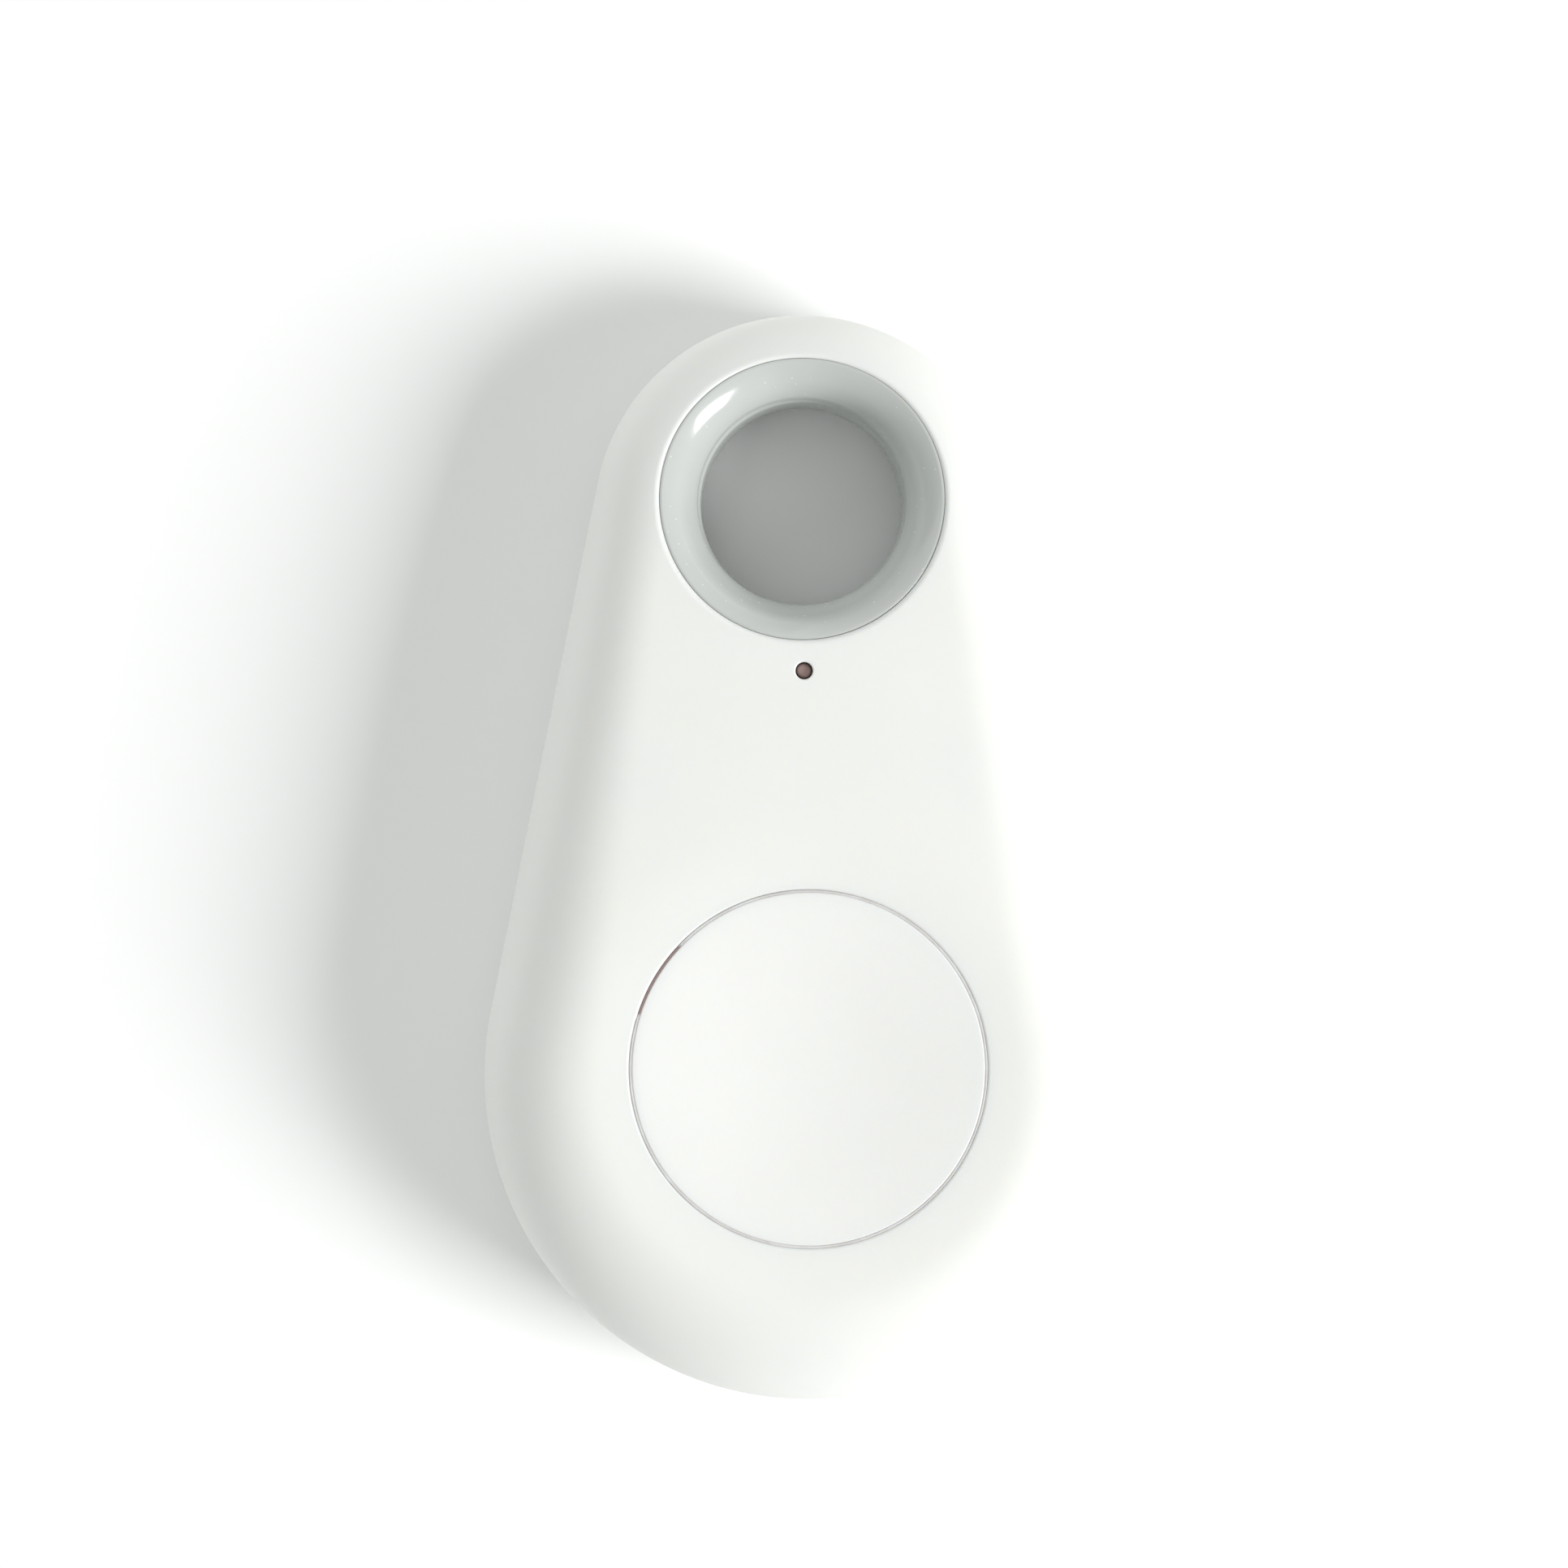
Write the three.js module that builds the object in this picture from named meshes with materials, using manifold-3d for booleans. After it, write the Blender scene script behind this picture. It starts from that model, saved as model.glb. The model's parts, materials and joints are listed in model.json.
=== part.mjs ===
// Teardrop key-finder tag: two moulded shells, a round push button, a lined key-ring hole, a circuit
// board with its switch, beeper, light and radio, and a coin cell. Millimetres, +Z up. It lies on its
// rear cover with the front face up, the origin under the middle of its outline, and the key-ring end
// towards +Y.
import * as THREE from 'three';
import { mergeVertices } from 'three/addons/utils/BufferGeometryUtils.js';
import Module from 'manifold-3d';

const wasm = await Module();
wasm.setup();

// ---- driving dimensions ----
// outline: two circles joined by tangent flanks
const LENGTH = 52.0;
const WIDE_RADIUS = 15.5;
const RING_END_RADIUS = 10.0;
// front surface
const HEIGHT = 11.0; // reference height of the flat front, before crown and dish
const LEVEL_LENGTH = 8.5; // from the wide circle's centre to where the front starts to fall
const RING_FALL = 1.65; // how far it has fallen at the key-ring hole
const EDGE_SHARE = 0.36; // how far in the rounded shoulder reaches, as a share of the outline's local radius
const EDGE_DEPTH = 0.72; // how far down it goes, as a share of the way from the front to the seam
const CROWN_SHARE = 0.8; // the slight crown's reach, measured as the shoulder's is
const CROWN_DROP = 0.25;
const DISH_RADIUS = 12.0;
const DISH_DEPTH = 0.9;
// shells
const WALL = 1.2;
const REAR_EDGE_RADIUS = 2.0;
const SEAM_Z = 4.1;
const SEAM_GAP = 0.1;
const TONGUE_HEIGHT = 0.75;
const TONGUE_THICKNESS = 0.8;
const TONGUE_CLEARANCE = 0.1;
const PRY_WIDTH = 5.0;
const PRY_DEPTH = 0.6;
// button
const BUTTON_OFFSET = 0.6; // from the wide circle's centre
const BUTTON_OPENING_RADIUS = 8.4;
const BUTTON_GAP = 0.17;
const FLANGE_OVERLAP = 0.85; // how far the flange reaches under the shell
const FLANGE_THICKNESS = 0.6;
const BUTTON_PLATE = 1.1;
const BUTTON_RIM = 1.2;
const STEM_RADIUS = 1.5;
const NOTCH_FROM = 136; // degrees from +X, seen from the front
const NOTCH_TO = 162;
const KEY_MARGIN = 6; // degrees between the notch's end and the shell's key
const SEAT_MARGIN = 0.7;
// key-ring hole
const EYELET_OFFSET = 0.95; // from the ring end circle's centre
const EYELET_RADIUS = 6.68;
const RING_HOLE_RADIUS = 4.9;
const EYELET_SLEEVE_RADIUS = 6.0;
const EYELET_SEAT_Z = 5.25;
const EYELET_RIM_SINK = 0.15; // how far the lining's rim lies below the shell's front
const LIP_BEND = 2.2; // radius of the lip's curve, which starts at the rim
const LIP_SLOPES = [20, 60]; // degrees down from level, at the rim and at the throat
const THROAT_BEND = 4.4;
const THROAT_SLOPE = 82;
const RIDGE_STEP = 0.1; // a small step inside the throat, outside the bore
const RIDGE_Z = 4.9;
const EYELET_WAIST_Z = 4.3;
const EYELET_FOOT_Z = 0.3;
const SOCKET_WALL = 0.5;
const REAR_COLLAR_WALL = 0.55;
// pin hole and light
const PIN_HOLE_SPACE = 1.52; // between the edge of the key-ring funnel and the pin hole's centre
const PIN_HOLE_RADIUS = 0.41;
const LIGHT_GUIDE_SINK = 0.35; // how far the light guide's tip stands below the front
// coin cell, a standard size
const CELL_RADIUS = 10.0;
const CELL_THICKNESS = 3.2;
const CELL_METAL = 0.25;
const CELL_OFFSET = 0.5; // from the wide circle's centre
const CELL_FLOOR_GAP = 0.2;
const CELL_SIDE_GAP = 0.15;
const HOLDER_WALL = 1.3;
const CONTACT_METAL = 0.2;
const CONTACT_WIDTH = 3.0;
const CONTACT_ROOM = 1.0; // between the cell and the board
// board and what stands on it
const BOARD_THICKNESS = 0.8;
const SWITCH_SIZE = 5.2;
const SWITCH_HOUSING_HEIGHT = 1.2;
const SWITCH_PLATE = 0.15;
const DOME_RADIUS = 1.85;
const DOME_RISE = 0.3;
const DOME_METAL = 0.08;
const PLUNGER_RADIUS = 1.2;
const PLUNGER_HEIGHT = 1.0; // from its underside to its top
const BUZZER_SIZE = 7.5;
const BUZZER_HEIGHT = 2.5;
const CHIP_SIZE = 5.0;
const SCREW_NECK_X = 7.6;
const SCREW_RADIUS = 0.5;
const SCREW_HEAD_RADIUS = 1.2;
const SCREW_HEAD_HEIGHT = 0.6;
const SCREW_LENGTH = 3.0;
const BOSS_RADIUS = 1.5;
const BOSS_SINK = 0.2; // how far the end boss stands in the wall
// named clearances
const TOUCH_GAP = 0.05; // between pieces that rest on each other
const FIT_GAP = 0.1; // round a piece in its hole
const SLIDE_GAP = 0.15; // round a piece that slides out

// ---- sizes worked out from these ----
const WIDE_Y = WIDE_RADIUS - LENGTH / 2;
const RING_END_Y = LENGTH / 2 - RING_END_RADIUS;
const SPINE = RING_END_Y - WIDE_Y;
const FLANK_SINE = (WIDE_RADIUS - RING_END_RADIUS) / SPINE;
const FLANK_ANGLE = Math.asin(FLANK_SINE);
const FLANK_COSINE = Math.cos(FLANK_ANGLE);
const BUTTON_CENTRE_Y = WIDE_Y + BUTTON_OFFSET;
const CELL_CENTRE_Y = WIDE_Y + CELL_OFFSET;
const EYELET_CENTRE_Y = RING_END_Y + EYELET_OFFSET;
const PIN_HOLE_Y = EYELET_CENTRE_Y - EYELET_RADIUS - PIN_HOLE_SPACE;
const FALL_START_Y = WIDE_Y + LEVEL_LENGTH;
const FALL_RATE = RING_FALL / (EYELET_CENTRE_Y - FALL_START_Y) ** 2;
const CELL_BOTTOM = WALL + CELL_FLOOR_GAP;
const CELL_TOP = CELL_BOTTOM + CELL_THICKNESS;
const BOARD_BOTTOM = CELL_TOP + CONTACT_ROOM;
const BOARD_TOP = BOARD_BOTTOM + BOARD_THICKNESS;
const SWITCH_TOP = BOARD_TOP + SWITCH_HOUSING_HEIGHT;
const DOME_SEAT = BOARD_TOP + 0.45;
const PLUNGER_BOTTOM = DOME_SEAT + DOME_RISE + TOUCH_GAP;
const PLUNGER_TOP = PLUNGER_BOTTOM + PLUNGER_HEIGHT;
const BUTTON_RADIUS = BUTTON_OPENING_RADIUS - BUTTON_GAP;
const FLANGE_RADIUS = BUTTON_OPENING_RADIUS + FLANGE_OVERLAP;
const EYELET_OUTER_HOLE = EYELET_RADIUS + TOUCH_GAP;
const SOCKET_RADIUS = EYELET_OUTER_HOLE + SOCKET_WALL;
const HOLDER_INNER = CELL_RADIUS + CELL_SIDE_GAP;
const HOLDER_RADIUS = HOLDER_INNER + HOLDER_WALL;
const BUZZER_Y = BUTTON_CENTRE_Y + FLANGE_RADIUS + SEAT_MARGIN + FIT_GAP + BUZZER_SIZE / 2;
const BUZZER_TOP = BOARD_TOP + BUZZER_HEIGHT;
const FAR = 100; // longer than the tag, for cutting tools

// ---- heights of the front surface ----
// how far a point is along the flank's direction from the wide circle's centre
const alongFlank = (x, y) => (y - WIDE_Y) * FLANK_COSINE - Math.abs(x) * FLANK_SINE;

// distance from a point inside the outline to the outline
function inset(x, y) {
  const side = Math.abs(x);
  const up = y - WIDE_Y;
  const along = alongFlank(x, y);
  if (along < 0) return WIDE_RADIUS - Math.hypot(side, up);
  if (along > FLANK_COSINE * SPINE) return RING_END_RADIUS - Math.hypot(side, up - SPINE);
  return WIDE_RADIUS - (side * FLANK_COSINE + up * FLANK_SINE);
}

function localRadius(x, y) {
  const share = Math.min(Math.max(alongFlank(x, y) / (FLANK_COSINE * SPINE), 0), 1);
  return WIDE_RADIUS + (RING_END_RADIUS - WIDE_RADIUS) * share;
}

function frontZ(x, y) {
  const share = Math.max(inset(x, y), 0) / localRadius(x, y);
  const level = HEIGHT - FALL_RATE * Math.max(0, y - FALL_START_Y) ** 2;
  const lean = Math.max(0, 1 - share / EDGE_SHARE);
  const edge = EDGE_DEPTH * (level - SEAM_Z - SEAM_GAP) * (1 - Math.sqrt(1 - lean * lean));
  const crown = CROWN_DROP * Math.max(0, 1 - share / CROWN_SHARE) ** 2;
  const reach = Math.min(1, Math.hypot(x, y - BUTTON_CENTRE_Y) / DISH_RADIUS);
  const dish = DISH_DEPTH * (1 - reach ** 2) ** 2;
  return level - edge - crown - dish;
}

const BUTTON_EDGE_Z = frontZ(BUTTON_OPENING_RADIUS, BUTTON_CENTRE_Y);
const SEAT_Z = BUTTON_EDGE_Z - WALL;
const FLANGE_TOP = SEAT_Z - TOUCH_GAP;
const FLANGE_BOTTOM = FLANGE_TOP - FLANGE_THICKNESS;
const BUTTON_UNDERSIDE = frontZ(0, BUTTON_CENTRE_Y) - BUTTON_PLATE;

// ---- making solids ----
function toSolid(geometry) {
  const bare = geometry.clone();
  bare.deleteAttribute('normal');
  bare.deleteAttribute('uv');
  const merged = mergeVertices(bare, 1e-5);
  const points = merged.attributes.position.array;
  const corners = Array.from(merged.index.array);
  const faces = [];
  let volume = 0;
  const corner = [new THREE.Vector3(), new THREE.Vector3(), new THREE.Vector3()];
  for (let i = 0; i < corners.length; i += 3) {
    const face = corners.slice(i, i + 3);
    if (new Set(face).size < 3) continue;
    faces.push(face);
    face.forEach((vertex, k) => corner[k].fromArray(points, 3 * vertex));
    volume += corner[0].dot(corner[1].clone().cross(corner[2]));
  }
  const outward = volume < 0 ? faces.map((face) => face.reverse()) : faces;
  return new wasm.Manifold(
    new wasm.Mesh({ numProp: 3, vertProperties: points, triVerts: new Uint32Array(outward.flat()) }),
  );
}

function toGeometry(solid) {
  const mesh = solid.getMesh();
  const geometry = new THREE.BufferGeometry();
  geometry.setAttribute('position', new THREE.BufferAttribute(mesh.vertProperties, 3));
  geometry.setIndex(new THREE.BufferAttribute(mesh.triVerts, 1));
  geometry.computeVertexNormals();
  return geometry;
}

const cut = (solid, ...tools) => tools.reduce((left, tool) => left.subtract(tool), solid);
const join = (solid, ...others) => others.reduce((left, other) => left.add(other), solid);

function rod(radius, x, y, low, high, sides = 40) {
  const geometry = new THREE.CylinderGeometry(radius, radius, high - low, sides);
  geometry.rotateX(Math.PI / 2);
  geometry.translate(x, y, (low + high) / 2);
  return toSolid(geometry);
}

function block(width, depth, low, high, x = 0, y = 0) {
  const geometry = new THREE.BoxGeometry(width, depth, high - low);
  geometry.translate(x, y, (low + high) / 2);
  return toSolid(geometry);
}

// profile: [radius, z] pairs, closed or ending on the axis
function lathe(profile, x, y, sides = 40) {
  const points = profile.map(([radius, z]) => new THREE.Vector2(radius, z));
  const geometry = new THREE.LatheGeometry(points, sides);
  geometry.rotateX(Math.PI / 2);
  geometry.translate(x, y, 0);
  return geometry;
}

const turned = (profile, x, y, sides) => toSolid(lathe(profile, x, y, sides));

function pipe(inner, outer, x, y, low, high, sides) {
  const profile = [[inner, low], [outer, low], [outer, high], [inner, high], [inner, low]];
  return turned(profile, x, y, sides);
}

// a ring sector between two radii and two angles in degrees
function sector(inner, outer, from, to, x, y, low, high) {
  const shape = new THREE.Shape();
  shape.absarc(0, 0, outer, THREE.MathUtils.degToRad(from), THREE.MathUtils.degToRad(to), false);
  shape.absarc(0, 0, inner, THREE.MathUtils.degToRad(to), THREE.MathUtils.degToRad(from), true);
  shape.closePath();
  return raised(shape, low, high, x, y);
}

function raised(shape, low, high, x = 0, y = 0, curveSegments = 16) {
  const geometry = new THREE.ExtrudeGeometry(shape, { depth: high - low, bevelEnabled: false, curveSegments });
  geometry.translate(x, y, low);
  return toSolid(geometry);
}

function teardropShape(offset) {
  const shape = new THREE.Shape();
  const turn = FLANK_ANGLE;
  shape.absarc(0, WIDE_Y, WIDE_RADIUS - offset, Math.PI - turn, 2 * Math.PI + turn, false);
  shape.absarc(0, RING_END_Y, RING_END_RADIUS - offset, turn, Math.PI - turn, false);
  shape.closePath();
  return shape;
}

// ---- the teardrop form, with a curved top ----
const WIDE_STEPS = 24; // round the lower half of the wide circle
const SHORT_STEPS = 2; // from there up to each flank
const RING_STEPS = 18;
const FLANK_STEPS = 5;
const RING_FRACTIONS = [1, 0.985, 0.95, 0.9, 0.82, 0.7, 0.55, 0.38, 0.2, 0];

// each station has a point on the spine, a direction out from it, the reach to the outline and the
// spine point's number
function stations(offset) {
  const list = [];
  const turn = FLANK_ANGLE;
  const arc = (y, radius, from, to, steps, spineNumber, first = 0) => {
    for (let i = first; i <= steps; i += 1) {
      const angle = from + ((to - from) * i) / steps;
      list.push({ y, angle, radius: radius - offset, spineNumber });
    }
  };
  const flank = (side) => {
    for (let i = 1; i < FLANK_STEPS; i += 1) {
      const step = side > 0 ? i : FLANK_STEPS - i;
      const share = step / FLANK_STEPS;
      list.push({
        y: WIDE_Y + SPINE * share,
        angle: side > 0 ? turn : Math.PI - turn,
        radius: WIDE_RADIUS + (RING_END_RADIUS - WIDE_RADIUS) * share - offset,
        spineNumber: step,
      });
    }
  };
  arc(WIDE_Y, WIDE_RADIUS, Math.PI - turn, Math.PI, SHORT_STEPS, 0);
  arc(WIDE_Y, WIDE_RADIUS, Math.PI, 2 * Math.PI, WIDE_STEPS, 0, 1);
  arc(WIDE_Y, WIDE_RADIUS, 2 * Math.PI, 2 * Math.PI + turn, SHORT_STEPS, 0, 1);
  flank(1);
  arc(RING_END_Y, RING_END_RADIUS, turn, Math.PI - turn, RING_STEPS, FLANK_STEPS);
  flank(-1);
  return list;
}

// rings: [fraction of the reach, height at x, y] pairs from the middle of the top to the middle of the bottom
function teardropForm(offset, rings) {
  const round = stations(offset);
  const points = [];
  const rows = rings.map(([fraction, height]) => {
    const first = points.length / 3;
    const middle = fraction === 0;
    const count = middle ? FLANK_STEPS + 1 : round.length;
    for (let i = 0; i < count; i += 1) {
      const place = middle ? { y: WIDE_Y + (SPINE * i) / FLANK_STEPS, angle: 0, radius: 0 } : round[i];
      const x = Math.cos(place.angle) * place.radius * fraction;
      const y = place.y + Math.sin(place.angle) * place.radius * fraction;
      points.push(x, y, height(x, y));
    }
    return round.map((place, i) => first + (middle ? place.spineNumber : i));
  });
  const faces = [];
  for (let k = 0; k + 1 < rows.length; k += 1) {
    for (let i = 0; i < round.length; i += 1) {
      const next = (i + 1) % round.length;
      faces.push(rows[k][i], rows[k + 1][i], rows[k + 1][next], rows[k][i], rows[k + 1][next], rows[k][next]);
    }
  }
  const geometry = new THREE.BufferGeometry();
  geometry.setAttribute('position', new THREE.Float32BufferAttribute(points, 3));
  geometry.setIndex(faces);
  return toSolid(geometry);
}

// a teardrop block from a level base up to the front surface lowered by drop
function domed(offset, base, drop) {
  const top = [...RING_FRACTIONS].reverse().map((fraction) => [fraction, (x, y) => frontZ(x, y) - drop]);
  return teardropForm(offset, [...top, [1, () => base], [0, () => base]]);
}

// ---- shells ----
const BOSSES = [
  [-SCREW_NECK_X, BUZZER_Y],
  [SCREW_NECK_X, BUZZER_Y],
  [0, WIDE_Y - WIDE_RADIUS + WALL + BOSS_RADIUS - BOSS_SINK],
];

function frontShell() {
  const outside = domed(0, SEAM_Z + SEAM_GAP, 0);
  const inside = domed(WALL, 0, WALL);
  // ends what grows from the ceiling within its wall
  const core = domed(WALL / 2, SEAM_Z + SEAM_GAP, WALL / 2);
  const bosses = BOSSES.map(([x, y]) => rod(BOSS_RADIUS, x, y, BOARD_TOP, HEIGHT, 20).intersect(core));
  const pilots = BOSSES.map(([x, y]) => {
    return rod(SCREW_RADIUS + TOUCH_GAP, x, y, 0, BOARD_BOTTOM + SCREW_LENGTH + FIT_GAP, 16);
  });
  const seat = rod(FLANGE_RADIUS + SEAT_MARGIN, 0, BUTTON_CENTRE_Y, SEAT_Z, HEIGHT, 48).intersect(core);
  const key = sector(
    BUTTON_RADIUS,
    FLANGE_RADIUS,
    NOTCH_FROM + KEY_MARGIN,
    NOTCH_TO - KEY_MARGIN,
    0,
    BUTTON_CENTRE_Y,
    FLANGE_BOTTOM,
    SEAT_Z + TOUCH_GAP,
  );
  const socketFoot = SEAM_Z + SEAM_GAP + TOUCH_GAP;
  const socket = rod(SOCKET_RADIUS, 0, EYELET_CENTRE_Y, socketFoot, HEIGHT, 40).intersect(core);
  const buzzerSide = BUZZER_SIZE + 2 * FIT_GAP;
  return cut(
    join(cut(outside, inside), ...bosses, seat, key, socket),
    ...pilots,
    block(buzzerSide, buzzerSide, 0, BUZZER_TOP + FIT_GAP, 0, BUZZER_Y),
    rod(BUTTON_OPENING_RADIUS, 0, BUTTON_CENTRE_Y, 0, FAR, 48),
    rod(EYELET_OUTER_HOLE, 0, EYELET_CENTRE_Y, EYELET_SEAT_Z - TOUCH_GAP, FAR, 48),
    rod(EYELET_SLEEVE_RADIUS + FIT_GAP, 0, EYELET_CENTRE_Y, 0, FAR, 48),
    rod(PIN_HOLE_RADIUS, 0, PIN_HOLE_Y, 0, FAR, 16),
  );
}

function rearCover() {
  const edgeSteps = [0, 0.33, 0.67, 1];
  const rings = edgeSteps.map((step) => {
    const angle = (step * Math.PI) / 2;
    const drop = REAR_EDGE_RADIUS * (1 - Math.cos(angle));
    const move = REAR_EDGE_RADIUS * (1 - Math.sin(angle));
    return [move, drop];
  });
  const layers = rings.map(([move, z]) => ({ move, z }));
  const outside = stacked([...layers, { move: 0, z: SEAM_Z }]);
  const room = raised(teardropShape(WALL), WALL, FAR, 0, 0, 20);
  const tongueOffset = WALL + TONGUE_CLEARANCE;
  const tongue = cut(
    raised(teardropShape(tongueOffset), WALL, SEAM_Z + TONGUE_HEIGHT, 0, 0, 20),
    raised(teardropShape(tongueOffset + TONGUE_THICKNESS), 0, FAR, 0, 0, 20),
  );
  const corner = raised(teardropShape(WALL - TOUCH_GAP), WALL, SEAM_Z - TOUCH_GAP, 0, 0, 20);
  const web = cut(corner, raised(teardropShape(tongueOffset + TOUCH_GAP), 0, FAR, 0, 0, 20));
  const hole = EYELET_SLEEVE_RADIUS + SLIDE_GAP;
  const collar = rod(hole + REAR_COLLAR_WALL, 0, EYELET_CENTRE_Y, WALL / 2, SEAM_Z, 48);
  const pads = [90, 210, 330].map((angle) => {
    const turn = THREE.MathUtils.degToRad(angle);
    const reach = CELL_RADIUS * 0.6;
    const x = reach * Math.cos(turn);
    const y = CELL_CENTRE_Y + reach * Math.sin(turn);
    return rod(1.5, x, y, WALL / 2, CELL_BOTTOM - TOUCH_GAP, 20);
  });
  return cut(
    join(cut(outside, room), tongue, web, collar, ...pads),
    rod(hole, 0, EYELET_CENTRE_Y, -1, FAR, 48),
    rod(SOCKET_RADIUS + FIT_GAP, 0, EYELET_CENTRE_Y, SEAM_Z, FAR, 48),
    block(PRY_WIDTH, 2 * WALL, SEAM_Z - PRY_DEPTH, SEAM_Z + TOUCH_GAP, 0, WIDE_Y - WIDE_RADIUS - WALL / 2),
  );
}

// level teardrop slices, each moved in from the outline, one on the other
function stacked(layers) {
  const round = layers.map(({ move }) => stations(move));
  const count = round[0].length;
  const points = [];
  layers.forEach(({ z }, k) => {
    round[k].forEach(({ y, angle, radius }) => {
      points.push(Math.cos(angle) * radius, y + Math.sin(angle) * radius, z);
    });
  });
  const faces = [];
  for (let k = 0; k + 1 < layers.length; k += 1) {
    for (let i = 0; i < count; i += 1) {
      const next = (i + 1) % count;
      const low = k * count;
      const high = low + count;
      faces.push(low + i, low + next, high + next, low + i, high + next, high + i);
    }
  }
  const spineAt = (z) => {
    const first = points.length / 3;
    for (let i = 0; i <= FLANK_STEPS; i += 1) points.push(0, WIDE_Y + (SPINE * i) / FLANK_STEPS, z);
    return first;
  };
  const last = (layers.length - 1) * count;
  const bottom = spineAt(layers[0].z);
  const top = spineAt(layers[layers.length - 1].z);
  round[0].forEach((place, i) => {
    const next = (i + 1) % count;
    const here = place.spineNumber;
    const there = round[0][next].spineNumber;
    faces.push(i, bottom + here, bottom + there, i, bottom + there, next);
    faces.push(last + i, last + next, top + there, last + i, top + there, top + here);
  });
  const geometry = new THREE.BufferGeometry();
  geometry.setAttribute('position', new THREE.Float32BufferAttribute(points, 3));
  geometry.setIndex(faces);
  return toSolid(geometry);
}

// an arc running in and down from a [radius, z] point, between two slopes in degrees
function bentIn([radius, z], bend, from, to, steps) {
  const points = [];
  const start = THREE.MathUtils.degToRad(from);
  for (let i = 1; i <= steps; i += 1) {
    const slope = THREE.MathUtils.degToRad(from + ((to - from) * i) / steps);
    points.push([
      radius - bend * (Math.sin(slope) - Math.sin(start)),
      z - bend * (Math.cos(start) - Math.cos(slope)),
    ]);
  }
  return points;
}

function eyeletRing() {
  const crownZ = frontZ(0, EYELET_CENTRE_Y);
  const rim = [EYELET_RADIUS, crownZ];
  const lip = bentIn(rim, LIP_BEND, ...LIP_SLOPES, 3);
  const throat = bentIn(lip[lip.length - 1], THROAT_BEND, LIP_SLOPES[1], THROAT_SLOPE, 4);
  const profile = [
    [EYELET_SLEEVE_RADIUS, EYELET_FOOT_Z],
    [EYELET_SLEEVE_RADIUS, EYELET_SEAT_Z],
    [EYELET_RADIUS, EYELET_SEAT_Z],
    rim,
    ...lip,
    ...throat,
    [RING_HOLE_RADIUS + RIDGE_STEP, RIDGE_Z],
    [RING_HOLE_RADIUS, EYELET_WAIST_Z],
    [RING_HOLE_RADIUS, EYELET_FOOT_Z + 1.2],
    [RING_HOLE_RADIUS + 0.2, EYELET_FOOT_Z + 0.5],
    [EYELET_SLEEVE_RADIUS - 0.35, EYELET_FOOT_Z],
    [EYELET_SLEEVE_RADIUS, EYELET_FOOT_Z],
  ];
  const geometry = lathe(profile, 0, EYELET_CENTRE_Y, 40);
  const place = geometry.attributes.position;
  for (let i = 0; i < place.count; i += 1) {
    const x = place.getX(i);
    const y = place.getY(i) - EYELET_CENTRE_Y;
    const z = place.getZ(i);
    if (z <= EYELET_SEAT_Z) continue;
    const reach = EYELET_RADIUS / Math.hypot(x, y);
    const rimZ = frontZ(x * reach, EYELET_CENTRE_Y + y * reach) - EYELET_RIM_SINK;
    place.setZ(i, EYELET_SEAT_Z + ((z - EYELET_SEAT_Z) * (rimZ - EYELET_SEAT_Z)) / (crownZ - EYELET_SEAT_Z));
  }
  return toSolid(geometry);
}

function buttonCap() {
  const form = domed(0, SEAM_Z, 0);
  const disc = rod(BUTTON_RADIUS, 0, BUTTON_CENTRE_Y, FLANGE_BOTTOM, HEIGHT, 48).intersect(form);
  const flange = rod(FLANGE_RADIUS, 0, BUTTON_CENTRE_Y, FLANGE_BOTTOM, FLANGE_TOP, 48);
  const notch = sector(
    BUTTON_RADIUS - TOUCH_GAP,
    FLANGE_RADIUS + 1,
    NOTCH_FROM,
    NOTCH_TO,
    0,
    BUTTON_CENTRE_Y,
    FLANGE_BOTTOM - 1,
    FLANGE_TOP + TOUCH_GAP,
  );
  const hollow = rod(BUTTON_RADIUS - BUTTON_RIM, 0, BUTTON_CENTRE_Y, 0, BUTTON_UNDERSIDE, 48);
  const stem = rod(STEM_RADIUS, 0, BUTTON_CENTRE_Y, PLUNGER_TOP + TOUCH_GAP, BUTTON_UNDERSIDE + TOUCH_GAP, 24);
  return join(cut(join(disc, flange), notch, hollow), stem);
}

// ---- board ----
function circuitBoard() {
  const holes = BOSSES.map(([x, y]) => rod(SCREW_RADIUS + 0.2, x, y, 0, FAR, 16));
  return cut(
    raised(teardropShape(WALL + FIT_GAP), BOARD_BOTTOM, BOARD_TOP, 0, 0, 20),
    rod(SOCKET_RADIUS + FIT_GAP, 0, EYELET_CENTRE_Y, 0, FAR, 48),
    block(FAR, FAR, 0, FAR, 0, EYELET_CENTRE_Y + FAR / 2 - 2),
    ...holes,
  );
}

function boardScrew([x, y]) {
  const headLow = BOARD_BOTTOM - SCREW_HEAD_HEIGHT;
  const tip = BOARD_BOTTOM + SCREW_LENGTH;
  const profile = [
    [0, headLow],
    [SCREW_HEAD_RADIUS * 0.8, headLow],
    [SCREW_HEAD_RADIUS, headLow + 0.2],
    [SCREW_HEAD_RADIUS, BOARD_BOTTOM],
    [SCREW_RADIUS, BOARD_BOTTOM],
    [SCREW_RADIUS, tip - 0.5],
    [0, tip],
  ];
  const slots = [block(1.3, 0.3, 0, headLow + 0.3, x, y), block(0.3, 1.3, 0, headLow + 0.3, x, y)];
  return cut(turned(profile, x, y, 20), ...slots);
}

// ---- switch under the button ----
const FRAME_TOP = SWITCH_TOP + SWITCH_PLATE;

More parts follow.
